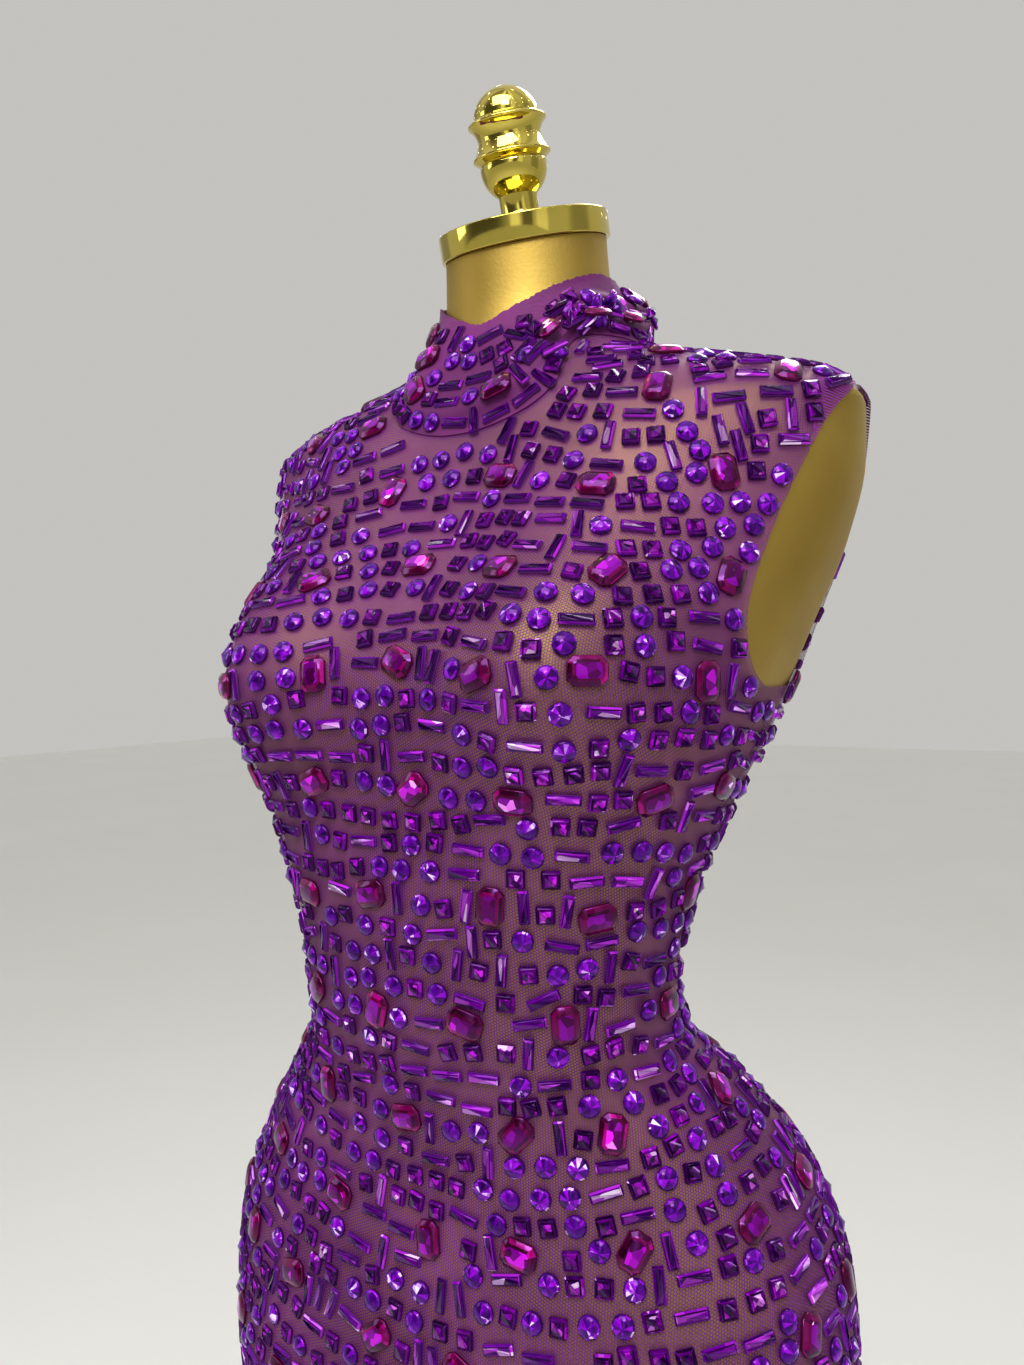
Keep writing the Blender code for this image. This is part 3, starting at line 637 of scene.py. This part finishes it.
def edgeShift(first, angle, heights, armhole):  # the seam gap, the room for the zip and the raw armhole
    shift = np.zeros((len(heights), 3))
    gap = body["seamGap"] / 2
    if angle == 270:
        inside = 1 if first == 270 else -1
        taper = body["zipEndTaper"]
        zipped = np.clip((heights - body["zipBottom"] + taper) / taper, 0, 1)
        shift[:, 0] = inside * (gap + zipped * (body["zipHalf"] + gap))
    else:
        inside = -1 if first == 0 else 1
        ragged = rawEdge(len(heights), first + angle)
        shift[:, 1] = inside * np.where(armhole == 0, gap, np.abs(ragged))
    return shift


def collarPiece(paint):
    angles = np.arange(-90, 270 + 0.01, cloth["collarStep"])
    parts = np.linspace(0, 1, cloth["collarRows"])
    part, angle = np.meshgrid(parts, angles, indexing="ij")
    middle = collarSheet(part, angle)
    middle[:, 0, 0] += body["zipHalf"] + body["seamGap"]
    middle[:, -1, 0] -= body["zipHalf"] + body["seamGap"]
    middle[-1, :, 2] += rawEdge(len(angles), 5)
    middle[0, :, 2] += body["seamGap"] / 2
    across = collarOutward(part, angle) * cloth["collarHalf"]
    wall = clothWall((middle - across, middle + across))
    piece = finish("collar_net", wall, paint, "doubled_net", "collar")


# Gold form under the cloth
form = {
    "columnStep": 3, "rowStep": 0.008, "firstRow": 0.006, "shoulderRows": 26, "neckRows": 14,
    "under": ((0.93, 0), (0.965, 0.0006), (0.988, 0.0025)),
}


def neckAxis():
    ends = figure(np.full(2, body["neckTop"]), np.array([90.0, 270.0]))
    return float(ends[:, 1].mean())


def torsoPiece(paint):
    angles = np.arange(0, 360, form["columnStep"], dtype=float)
    columns = len(angles)
    yoke, start = body["yoke"], neckline(angles)
    levels = np.arange(body["formBottom"] + form["firstRow"], yoke, form["rowStep"])
    rows = [np.full(columns, level) for level in levels]
    rows += [yoke + part * (start - yoke) for part in np.linspace(0, 1, form["shoulderRows"])]
    end = np.full(columns, body["neckTop"])
    for _ in range(4):  # settles on the tilted top
        end = body["neckTop"] + tan(body["capTilt"]) * (figure(end, angles)[:, 1] - neckAxis())
    rows += [start + part * (end - start) for part in np.linspace(0, 1, form["neckRows"])[1:]]
    points = figure(np.array(rows), np.broadcast_to(angles, np.shape(rows)))
    under = figure(np.full(columns, body["formBottom"]), angles)
    rounded = [under * (share, share, 1) + (0, 0, rise) for share, rise in form["under"]]
    points = np.concatenate([rounded, points])
    bm = bmesh.new()
    bmesh.ops.create_grid(bm, x_segments=columns, y_segments=len(points) - 1, size=0.5)
    for vertex in bm.verts:
        row, column = gridCell(vertex, len(points), columns + 1)
        vertex.co = points[row, column % columns]
    bmesh.ops.remove_doubles(bm, verts=bm.verts[:], dist=1e-6)
    bmesh.ops.holes_fill(bm, edges=[edge for edge in bm.edges if edge.is_boundary])
    bmesh.ops.recalc_face_normals(bm, faces=bm.faces[:])
    finish("torso", meshOf(bm, 40), paint, "satin_gold", "form_torso")


def turnedPiece(name, node, paint, profile, steps=96, sharp=35, aboveNeck=None):
    bm = spun(profile, steps)
    if aboveNeck is not None:
        place = Vector((0, neckAxis(), body["neckTop"]))
        tilt = Matrix.Rotation(body["capTilt"], 4, "X")
        bm.transform(Matrix.Translation(place) @ tilt @ Matrix.Translation((0, 0, aboveNeck)))
    finish(name, meshOf(bm, sharp), paint, "polished_gold", node)


def capPiece(paint):
    size = {"edge": 0.0012, "rim": 0.004, "middle": 0.018, "crown": 0.0001}
    radius, thick, edge = body["capRadius"], body["capThick"], size["edge"]
    crown = thick + size["crown"]
    profile = [(0, 0), (radius - size["rim"], 0), (radius - edge, 0)]
    profile += arc((radius - edge, edge), edge, -80, 0, 6)
    profile += arc((radius - edge, thick - edge), edge, 0, 80, 6)
    profile += [(radius - size["rim"], thick), (size["middle"], crown), (0, crown)]
    turnedPiece("neck_cap", "form_cap", paint, profile, 128, 40, body["seamGap"])


def finialPiece(paint):
    size = {"rim": 0.0250, "bulb": 0.0215, "stem": 0.0125, "foot": 0.0160, "high": 0.0825}
    rim, bulb, stem, foot, high = size.values()
    profile = [(0, 0), (foot, 0)]
    profile += arc((foot - 0.001, 0.0025), 0.0025, -60, 70, 8)
    profile += [(stem + 0.0008, 0.0060), (stem + 0.0001, 0.0072), (stem, 0.0085), (stem, 0.0165)]
    profile += [(stem + 0.0002, 0.0178)]
    profile += arc((0.0015, 0.0345), 0.0200, -50, 4, 12)
    profile += [(bulb - 0.0008, 0.0375), (rim - 0.0012, 0.0396)]
    profile += arc((rim - 0.0010, 0.0411), 0.0011, -60, 50, 6)
    profile += [(0.0236, 0.0432), (0.0220, 0.0462), (0.0208, 0.0490), (0.0202, 0.0512), (0.0204, 0.0532)]
    profile += [(0.0216, 0.0564), (rim - 0.0010, 0.0598)]
    profile += arc((rim - 0.0010, 0.0609), 0.0011, -50, 60, 6)
    turns = np.radians(np.linspace(4, 86, 16))
    profile += [((rim - 0.0040) * cos(a), 0.0628 + (high - 0.0630) * sin(a)) for a in turns]
    profile += [(0, high)]
    turnedPiece("finial", "form_finial", paint, profile, 96, 40, body["seamGap"] * 2 + body["capThick"])


def standPieces(paint):
    size = {"pole": 0.016, "base": 0.200, "baseThick": 0.014, "boss": 0.036, "bossTop": 0.040, "depth": 0.045}
    pole, base, thick, boss, bossTop, depth = size.values()
    bore = pole + body["seamGap"]
    under = body["formBottom"] - body["seamGap"]
    low = under - depth
    socket = [(0, under), (0.044, under)] + arc((0.044, under - 0.001), 0.001, 80, -20, 5)
    socket += [(0.045, under - 0.0055), (0.0435, under - 0.0065), (0.026, under - 0.0095)]
    socket += [(0.0242, under - 0.0115), (0.024, low + 0.001), (0.0232, low), (bore, low)]
    socket += [(bore, under - 0.006), (0, under - 0.006)]
    turnedPiece("stand_socket", "form_socket", paint, socket)
    top = under - 0.006 - body["seamGap"]
    bottom = thick + body["seamGap"]
    turnedPiece("stand_pole", "form_pole", paint, [(0, bottom), (pole, bottom), (pole, top), (0, top)])
    disc = [(0, 0), (base - 0.004, 0)] + arc((base - 0.004, 0.004), 0.004, -80, 70, 12)
    disc += [(base - 0.008, 0.0085), (0.12, 0.0115), (boss + 0.008, thick - 0.0004)]
    disc += arc((boss + 0.008, thick + 0.0076), 0.008, -100, -170, 8)
    disc += [(boss - 0.002, 0.028), (0.026, 0.0365), (0.0215, bossTop - 0.0004), (0.0205, bossTop)]
    disc += [(bore, bossTop), (bore, thick), (0, thick)]
    turnedPiece("stand_base", "form_base", paint, disc, 160)


# Stones: where each lies. A stone is a few discs while places are sought
Stone = namedtuple("Stone", "kind place along normal")
layout = {
    "rowPitch": 0.0158, "waist": 1.035, "gapLow": 0.0026, "gapHigh": 0.0064, "clearance": 0.0006,
    "jitter": 0.0011, "turn": 5.5, "base": 0.00142, "cell": 0.024, "edgeDisc": 0.0006, "seed": 11,
    "rowEnd": 0.003, "nextTry": 0.0025, "sway": ((3, 52, 0.0014), (8, 95, 0.0012)),
    "octagonEvery": 4, "octagonStep": 0.064, "octagonStart": (0.006, 0.020), "octagonEnd": 0.010,
    "octagonShift": 0.005, "octagonSpread": (0.88, 1.12), "octagonTurns": (0, 90, 0, 90, 14, -20, 76, 45),
    "bareZip": 0.0075, "bareSeam": 0.0030, "halfStone": 0.004, "zipEnd": 0.01,
    "bareHem": 0.009, "bareNeck": 0.008, "bareArmhole": 0.3, "collarLoose": 0.4, "aboveSeam": 0.0012,
    "mix": {"round": 0.33, "square": 0.36, "bar": 0.17, "upright": 0.14},
    "wide": {"round": 0.0120, "square": 0.0100, "bar": 0.0180, "upright": 0.0062},
    "discs": {"round": (0.0060, (0,)), "square": (0.0057, (0,)), "octagon": (0.0080, (-0.0032, 0.0032)),
              "bar": (0.0033, (-0.0058, -0.0020, 0.0020, 0.0058))},
}


class Ground:  # finds whether a new stone would lie on one that is there
    def __init__(self):
        self.cells = defaultdict(list)

    def home(self, point):
        return tuple(int(value // layout["cell"]) for value in point)

    def free(self, discs):
        for point, radius in discs:
            x, y, z = self.home(point)
            near = [(x + i, y + j, z + k) for i in (-1, 0, 1) for j in (-1, 0, 1) for k in (-1, 0, 1)]
            for cell in near:
                for other, size in self.cells.get(cell, ()):
                    reach = radius + size + layout["clearance"]
                    if (point - other).length_squared < reach * reach:
                        return False
        return True

    def take(self, discs):
        for point, radius in discs:
            self.cells[self.home(point)].append((point, radius))


def discsOf(kind, place, along):
    radius, steps = layout["discs"][kind]
    return [(place + along * step, radius) for step in steps]


class Row:  # a line of points with normals that stones are set along
    def __init__(self, index, points):
        self.index = index
        self.points = points
        self.lengths = running(points[:, :3])
        self.end = self.lengths[-1]

    def at(self, length):
        return pointAt(length, self.lengths, self.points)

    def place(self, length, rise):
        here = self.at(length)
        normal = Vector(here[3:]).normalized()
        half = layout["halfStone"]
        along = Vector(self.at(length + half)[:3]) - Vector(self.at(length - half)[:3])
        along = (along - normal * along.dot(normal)).normalized()
        return Vector(here[:3]) + normal.cross(along) * rise, along, normal


def rowsOf(index, places, normals, allowed):  # the stretches of a row that stones may lie on
    points = np.column_stack([places, normals])
    edges = np.flatnonzero(np.diff(np.concatenate([[0], allowed.astype(int), [0]])))
    return [Row(index, points[start:end]) for start, end in edges.reshape(-1, 2) if end - start > 3]


def clothEdges():  # points that no stone may lie over
    heights = np.linspace(body["armholeBottom"], body["armholeTop"], 90)
    for widest, sign in ((body["armholeFront"], 1), (body["armholeBack"], -1)):
        edge = armholeEdge(heights, widest)
        for angles in (sign * edge, 180 - sign * edge):
            yield lifted(draped, heights, angles, layout["base"] + easedOff(edge))
    around = np.arange(-90, 270.1, 1.5)
    yield lifted(draped, neckline(around) + layout["aboveSeam"], around, layout["base"])


def setStone(ground, stones, rng, row, length, kind):
    place, along, normal = row.place(length, rng.normal(0, layout["jitter"]))
    turn = rng.normal(0, layout["turn"])
    if kind == "upright":
        turn += 90
        kind = "bar"
    if kind == "octagon":
        turn += rng.choice(layout["octagonTurns"])
    along = Matrix.Rotation(radians(turn), 3, normal) @ along
    discs = discsOf(kind, place, along)
    if not ground.free(discs):
        return False
    ground.take(discs)
    stones.append(Stone(kind, place, along, normal))
    return True


def setRows(rows, ground, stones, rng, loose=1.0):  # big stones come first on some rows, then others fill all
    for row in rows:
        if row.index % layout["octagonEvery"] == 0:
            shift = (row.index // layout["octagonEvery"] % 2) * layout["octagonStep"] / 2
            length = shift + rng.uniform(*layout["octagonStart"])
            while length < row.end - layout["octagonEnd"]:
                setStone(ground, stones, rng, row, length + rng.normal(0, layout["octagonShift"]), "octagon")
                length += layout["octagonStep"] * rng.uniform(*layout["octagonSpread"])
    kinds, shares = list(layout["mix"]), list(layout["mix"].values())
    for row in rows:
        length = rng.uniform(0, layout["rowEnd"])
        while length < row.end - layout["rowEnd"]:
            for kind in [*rng.choice(kinds, 3, p=shares), "square", "upright"]:
                wide = layout["wide"][kind]
                fits = length + wide < row.end + layout["rowEnd"]
                if fits and setStone(ground, stones, rng, row, length + wide / 2, kind):
                    length += wide + rng.uniform(layout["gapLow"], layout["gapHigh"]) * loose
                    break
            else:
                length += layout["nextTry"]


def armholeRise(height, angles):  # how far the cloth is eased off the body near the armhole, and its edge
    sides = np.minimum(np.abs(turnBetween(angles, 0)), np.abs(turnBetween(angles, 180)))
    widest = np.where(sine(angles) > 0, body["armholeFront"], body["armholeBack"])
    edge = armholeEdge(height, widest)
    fade = np.clip(1 - (sides - edge) / (body["armholeEase"] - edge), 0, 1)
    return easedOff(edge) * fade, sides, edge


def dressRows():
    angles = np.arange(-90, 270.1, 1.0)
    heights = clothGrid(angles)
    up = running(draped(heights, np.broadcast_to(angles, heights.shape)))
    waist = np.array([np.interp(layout["waist"], high, long) for high, long in zip(heights.T, up.T)])
    pitch = layout["rowPitch"]
    back = sine(angles) < -0.5
    rows = []
    for index in range(int((up[0] - waist).min() / pitch), int((up[-1] - waist).max() / pitch) + 1):
        sway = sum(sine(angles * waves + index * turn) * high for waves, turn, high in layout["sway"])
        want = waist + (index + 0.5) * pitch + sway
        height = np.array([np.interp(w, long, high) for w, long, high in zip(want, up.T, heights.T)])
        rise, sides, edge = armholeRise(height, angles)
        normal = outward(draped, height, angles)
        place = draped(height, angles) + normal * (layout["base"] + rise)[:, None]
        zipped = height > body["zipBottom"] - layout["zipEnd"]
        bare = np.where(zipped, layout["bareZip"], layout["bareSeam"]) + layout["halfStone"]
        inside = (want > up[0] + layout["bareHem"]) & (want < up[-1] - layout["bareNeck"])
        inside &= sides > np.where(edge > 0, edge + layout["bareArmhole"], -1)
        inside &= ~(back & (np.abs(place[:, 0]) < bare))
        rows += rowsOf(index, place, normal, inside)
    return rows


def collarRows():  # rows at even heights above the seam, as far as the bare band under the top edge
    size = {"first": 0.0078, "pitch": 0.0138, "bare": 0.0078, "bareFront": 0.0105, "bareZip": 8,
            "lift": 0.0007, "big": (1, 4, 8, 1, 5)}
    angles = np.arange(-90, 270.1, 2.0)
    tall = np.linalg.norm(collarSheet(np.ones(len(angles)), angles) - collarSheet(0 * angles, angles), axis=1)
    front = np.clip(sine(angles), 0, 1) ** 2
    bare = size["bare"] + (size["bareFront"] - size["bare"]) * front
    rows = []
    for row, index in enumerate(size["big"]):
        parts = (size["first"] + size["pitch"] * row) / tall
        normal = collarOutward(parts, angles)
        place = collarSheet(parts, angles) + normal * size["lift"]
        inside = (parts * tall < tall - bare) & (np.abs(turnBetween(angles, 270)) > size["bareZip"])
        rows += rowsOf(index, place, normal, inside)
    return rows


def bunchedStones(stones, rng):  # where the crushed collar pushes stones over one another
    size = {"crushes": ((30, 26, 15), (205, 24, 13), (325, 16, 7)), "low": 0.12, "high": 0.66, "lean": 15,
            "lift": (0.0016, 0.0030), "bareZip": 12, "kinds": ("bar", "square", "round", "bar", "octagon"),
            "shares": (0.30, 0.24, 0.22, 0.16, 0.08)}
    for middle, spread, count in size["crushes"]:
        for _ in range(count):
            angle = np.array([rng.normal(middle, spread)])
            if abs(turnBetween(angle[0], 270)) < size["bareZip"]:
                continue
            part = np.array([rng.uniform(size["low"], size["high"])])
            normal = Vector(collarOutward(part, angle)[0])
            place = Vector(collarSheet(part, angle)[0]) + normal * rng.uniform(*size["lift"])
            along = normal.orthogonal().normalized()
            along = Matrix.Rotation(rng.uniform(0, 2 * pi), 3, normal) @ along
            normal = Matrix.Rotation(radians(rng.normal(0, size["lean"])), 3, along) @ normal
            kind = str(rng.choice(size["kinds"], p=size["shares"]))
            stones.append(Stone(kind, place, along, normal))


# Stones: their shapes. Each starts as one flat face, is raised to its girdle and then inset up to the table
stoneShapes = {
    "round": {"long": 0.0120, "wide": 0.0120, "girdle": 0.0014, "steps": ((0.0009, 0.0008),), "peak": 0.0022},
    "square": {"long": 0.0100, "wide": 0.0100, "corner": 0.0008, "girdle": 0.0013,
               "steps": ((0.0010, 0.0012), (0.0011, 0.0006))},
    "bar": {"long": 0.0180, "wide": 0.0060, "corner": 0.0005, "girdle": 0.0012,
            "steps": ((0.0008, 0.0010), (0.0007, 0.0005))},
    "octagon": {"long": 0.0205, "wide": 0.0150, "corner": 0.0036, "girdle": 0.0016,
                "steps": ((0.0004, 0.0003), (0.0017, 0.0014), (0.0016, 0.0007))},
}


def stoneShape(size):
    bm = bmesh.new()
    if "corner" in size:
        bmesh.ops.create_grid(bm, x_segments=1, y_segments=1, size=0.5)
        bmesh.ops.scale(bm, vec=(size["long"], size["wide"], 1), verts=bm.verts[:])
        bmesh.ops.bevel(bm, geom=bm.verts[:], offset=size["corner"], segments=1, profile=0.5,
                        affect="VERTICES", material=-1)
    else:
        bmesh.ops.create_circle(bm, cap_ends=True, segments=12, radius=size["long"] / 2)
    made = bmesh.ops.extrude_face_region(bm, geom=bm.faces[:])
    top = next(item for item in made["geom"] if isinstance(item, bmesh.types.BMFace))
    bmesh.ops.translate(bm, vec=(0, 0, size["girdle"]), verts=top.verts[:])
    bmesh.ops.recalc_face_normals(bm, faces=bm.faces[:])
    for inset, rise in size["steps"]:
        bmesh.ops.inset_individual(bm, faces=[top], thickness=inset, depth=rise, use_even_offset=True)
    if "peak" in size:
        bmesh.ops.poke(bm, faces=[top], offset=size["peak"], center_mode="MEAN")
    bmesh.ops.triangulate(bm, faces=[face for face in bm.faces if len(face.verts) > 4])
    shape = bpy.data.meshes.new("shape")
    bm.to_mesh(shape)
    bm.free()
    return shape


def stonePiece(kind, stones, paint, seed):  # one mesh of all the stones of a kind, laid out from one shape
    shape = stoneShape(stoneShapes[kind])
    local = np.array([vertex.co for vertex in shape.vertices])
    corners = np.array([loop.vertex_index for loop in shape.loops])
    sizes = np.array([len(polygon.vertices) for polygon in shape.polygons])
    sides = np.array([polygon.normal.z < 0.35 for polygon in shape.polygons], float)
    tables = np.array([polygon.normal.z > 0.99 for polygon in shape.polygons], float)
    bpy.data.meshes.remove(shape)
    rng = np.random.default_rng(seed)
    count = len(stones)
    turns = np.array([(stone.along, stone.normal.cross(stone.along), stone.normal) for stone in stones])
    places = np.array([stone.place for stone in stones])
    points = np.einsum("vi,sij->svj", local, turns) + places[:, None]
    loops = (np.arange(count)[:, None] * len(local) + corners).ravel()
    totals = np.tile(sizes, count)
    mesh = bpy.data.meshes.new("stones_" + kind)
    mesh.vertices.add(count * len(local))
    mesh.vertices.foreach_set("co", points.ravel())
    mesh.loops.add(len(loops))
    mesh.loops.foreach_set("vertex_index", loops)
    mesh.polygons.add(len(totals))
    mesh.polygons.foreach_set("loop_start", np.concatenate([[0], np.cumsum(totals)[:-1]]))
    mesh.update(calc_edges=True)
    flat = local[corners, :2] + rng.uniform(-5, 5, (count, 1, 2))
    mesh.uv_layers.new(name="flat").data.foreach_set("uv", flat.ravel())
    # random brightness per face (facet) and per stone (tone), which the stone paints turn into painted inner
    # reflections and sparkle
    values = {"facet": rng.random(len(totals)), "tone": np.repeat(rng.random(count), len(sizes)),
              "side": np.tile(sides, count), "table": np.tile(tables, count)}
    for name, value in values.items():
        mesh.attributes.new(name, "FLOAT", "FACE").data.foreach_set("value", value)
    finish("stones_" + kind, mesh, paint)


def allStones():
    rng = np.random.default_rng(layout["seed"])
    ground, stones = Ground(), []
    setRows(collarRows(), ground, stones, rng, layout["collarLoose"])
    bunchedStones(stones, rng)
    print("collar stones", len(stones))
    for edge in clothEdges():
        ground.take([(Vector(point), layout["edgeDisc"]) for point in edge])
    setRows(dressRows(), ground, stones, rng)
    print("stones", len(stones))
    for seed, (kind, look) in enumerate(stoneLooks.items()):
        chosen = [stone for stone in stones if stone.kind == kind]
        stonePiece(kind, chosen, stonePaint("stone_" + kind, look), seed)
        print(kind, len(chosen))


# Sewing
sewing = {"pitch": 0.0021, "long": 0.0015, "thick": 0.00036, "lift": 0.0016, "step": 0.004, "beside": 0.0016,
          "underNeck": 0.0022}


def stitchRow(name, surface, heights, angles, shift, paint):  # short threads laid end to end along a seam
    normals = outward(surface, heights, angles)
    points = surface(heights, angles) + normals * sewing["lift"] + (0, shift, 0)
    lengths = running(points)
    bm = bmesh.new()
    for length in np.arange(sewing["pitch"], lengths[-1], sewing["pitch"]):
        start = Vector(pointAt(length, lengths, points))
        end = Vector(pointAt(length + sewing["long"], lengths, points))
        normal = Vector(pointAt(length, lengths, normals))
        along = (end - start).normalized()
        turn = Matrix((along, normal.cross(along).normalized(), normal)).transposed().to_4x4()
        scale = Matrix.Diagonal((sewing["long"], sewing["thick"] * 1.4, sewing["thick"], 1))
        place = Matrix.Translation((start + end) / 2)
        bmesh.ops.create_icosphere(bm, subdivisions=1, radius=0.5, matrix=place @ turn @ scale)
    finish(name, meshOf(bm, 60), paint)


def threadPaint():
    paint = Paint("thread")
    tone = paint.mix(paint.noise(300.0), rgb(0.05, 0.006, 0.08), rgb(0.17, 0.035, 0.22))
    return paint.set(Base_Color=tone, Roughness=0.5, Sheen_Weight=0.2)


def seams(paint):
    angles = np.arange(-86, 266.1, 1.0)
    stitchRow("neck_stitches", figure, neckline(angles) - sewing["underNeck"], angles, 0, paint)
    step = sewing["step"]
    heights = np.arange(body["hem"] + step, body["armholeBottom"] - step, step)
    for name, angle in (("left", 0.0), ("right", 180.0)):
        for end, side in (("front", -1), ("back", 1)):
            turned = np.full(len(heights), angle)
            shift = side * sewing["beside"]
            stitchRow(f"side_stitches_{name}_{end}", draped, heights, turned, shift, paint)


# Zip
def coilPiece(paint):  # closed coil: tape halves and teeth that reach across from each side in turn
    size = {"pitch": 0.0013, "tooth": (0.0030, 0.0009, 0.0008), "reach": 0.0004, "proud": 0.0006,
            "tapeFaces": (-0.0002, 0.0003), "lift": 0.0009, "step": 0.004, "collarRows": 16,
            "start": 0.002, "end": 0.001}
    low = np.arange(body["zipBottom"], body["neckBack"], size["step"])
    angle = np.full(len(low), 270.0)
    parts = np.linspace(0, 1, size["collarRows"])
    backAngle = np.full(len(parts), 270.0)
    below = lifted(draped, low, angle, size["lift"])
    above = collarSheet(parts, backAngle)
    middle = np.concatenate([below, above])
    normal = np.concatenate([outward(draped, low, angle), collarOutward(parts, backAngle)])
    walls = []
    for lift in size["tapeFaces"]:
        line = middle + normal * lift
        walls.append(np.stack([line + (-body["zipHalf"], 0, 0), line + (body["zipHalf"], 0, 0)], axis=1))
    tape = clothWall(walls)
    bm = bmesh.new()
    bm.from_mesh(tape)
    lengths = running(middle)
    for index, length in enumerate(np.arange(size["start"], lengths[-1] - size["end"], size["pitch"])):
        place = Vector(pointAt(length, lengths, middle))
        away = Vector(pointAt(length, lengths, normal)).normalized()
        up = Vector((1, 0, 0)).cross(away) * -1
        turn = Matrix(((1, 0, 0), up, away)).transposed().to_4x4()
        side = size["reach"] if index % 2 else -size["reach"]
        move = Matrix.Translation(place + away * size["proud"] + Vector((side, 0, 0)))
        bmesh.ops.create_cube(bm, size=1, matrix=move @ turn @ Matrix.Diagonal((*size["tooth"], 1)))
    bpy.data.meshes.remove(tape)
    finish("coil", meshOf(bm, 40), paint, "zip_coil", "zip_coil")


def coilPaint():
    paint = Paint("coil")
    tone = paint.mix(paint.noise(160.0), rgb(0.075, 0.012, 0.13), rgb(0.14, 0.03, 0.21))
    return paint.set(Base_Color=tone, Roughness=0.42)


def zipMetalPaint():
    paint = Paint("zipMetal")
    wear = paint.noise(700.0, 3.0)
    shade = paint.mix(paint.smooth(wear, 0.5, 0.7), rgb(0.14, 0.05, 0.20), rgb(0.18, 0.08, 0.25))
    return paint.set(Base_Color=shade, Metallic=0.8, Roughness=wear * 0.2 + 0.22,
                     Normal=paint.bump(0.1, 0.0001, wear))


# Floor, light and camera
def floorPiece():
    bm = bmesh.new()
    bmesh.ops.create_grid(bm, x_segments=1, y_segments=1, size=14)
    floor = newObject("floor", meshOf(bm))
    paint = Paint("floor")
    tone = paint.mix(paint.noise(1.2), rgb(0.72, 0.715, 0.69), rgb(0.76, 0.755, 0.73))
    floor.data.materials.append(paint.set(Base_Color=tone, Roughness=0.75))


def paleWorld():  # a plain pale backdrop; reflections see a room with bright and dark walls and ceiling lamps
    look = {"backdrop": 0.55, "room": 0.56, "ceiling": 0.80, "lamps": 11.0, "lampSize": 0.055,
            "lampScale": 1.5, "tint": rgb(1.0, 0.985, 0.945)}
    corners = ((-0.39, -0.92, 0.78, 0.97, -0.46), (0.34, -0.94, 0.990, 0.998, 0.75),
               (0.62, -0.79, 0.988, 0.997, -0.40), (0.79, -0.62, 0.985, 0.996, 0.45),
               (0.95, 0.30, 0.93, 0.99, -0.25), (-0.97, 0.25, 0.95, 0.99, -0.25))
    paint = Paint("studio", world=True)
    bpy.context.scene.world = paint.made
    place = paint.add("ShaderNodeTexCoord", out="Generated")
    x, y, high = (paint.add("ShaderNodeSeparateXYZ", None, {0: place}, part) for part in "XYZ")
    level = paint.add("ShaderNodeCombineXYZ", None, {0: x, 1: y})
    level = paint.add("ShaderNodeVectorMath", {"operation": "NORMALIZE"}, {0: level})
    room = look["room"] + paint.smooth(high, 0.45, 0.85) * (look["ceiling"] - look["room"])
    for east, north, start, end, change in corners:
        room = room + paint.smooth(paint.dot(level, (east, north, 0)), start, end) * change
    overhead = paint.add("ShaderNodeCombineXYZ", None, {0: x / high, 1: y / high})
    spots = paint.cells({"Vector": overhead, "Scale": look["lampScale"], "Randomness": 0.25}, "Distance")
    lit = (1 - paint.smooth(spots, look["lampSize"] * 0.8, look["lampSize"])) * paint.smooth(high, 0.40, 0.45)
    seen = paint.add("ShaderNodeLightPath", out="Is Camera Ray")
    hidden = room + lit * look["lamps"]
    paint.set(Color=look["tint"], Strength=seen * look["backdrop"] + (1 - seen) * hidden)


def softLight(name, place, aim, size, power):
    lamp = bpy.data.lights.new(name, "AREA")
    lamp.shape = "RECTANGLE"
    lamp.size, lamp.size_y = size
    lamp.energy = power
    made = newObject(name, lamp)
    made.location = place
    made.rotation_euler = (Vector(aim) - Vector(place)).to_track_quat("-Z", "Y").to_euler()


def photoCamera():
    shot = {"around": radians(32), "down": radians(1), "roll": radians(-1), "place": (0.006, -0.642, 1.231),
            "lens": 27.03, "sensor": 36}
    turn = Matrix.Rotation(shot["around"], 4, "Z")
    tilt = Matrix.Rotation(pi / 2 - shot["down"], 4, "X") @ Matrix.Rotation(shot["roll"], 4, "Z")
    made = newObject("camera", bpy.data.cameras.new("camera"))
    made.data.lens = shot["lens"]
    made.data.sensor_width = shot["sensor"]
    made.matrix_world = turn @ Matrix.Translation(shot["place"]) @ tilt
    bpy.context.scene.camera = made


bpy.context.scene.view_settings.view_transform = "Standard"  # keeps the violets as vivid as they are
photoCamera()
floorPiece()
paleWorld()
softLight("key", (0.9, -1.7, 2.7), (0, 0, 1.2), (0.8, 0.5), 20)
softLight("fill", (-1.9, -1.2, 2.0), (0, 0, 1.1), (0.6, 0.9), 5)
softLight("overhead", (0.2, -1.05, 2.65), (0, 0, 1.2), (1.3, 1.0), 28)
softLight("behind", (0.1, 1.3, 2.9), (0, 0, 1.2), (0.9, 0.7), 18)
print("stage, light and camera")

satinGold = satinGoldPaint()
polishedGold = polishedGoldPaint()
torsoPiece(satinGold)
capPiece(polishedGold)
finialPiece(polishedGold)
standPieces(polishedGold)
print("form and stand")

net = netPaint()
dressPanel("dress_front", 0, 180, body["armholeFront"], net)
dressPanel("dress_back_right", 180, 270, body["armholeBack"], net)
dressPanel("dress_back_left", 270, 360, body["armholeBack"], net)
collarPiece(doubledNetPaint())
print("net")

allStones()

seams(threadPaint())
coilPiece(coilPaint())
zipMetal = zipMetalPaint()
for node in ("zip_slider", "zip_pull_tab"):
    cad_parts[node].data.materials.clear()
    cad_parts[node].data.materials.append(zipMetal)
print("sewing and zip")
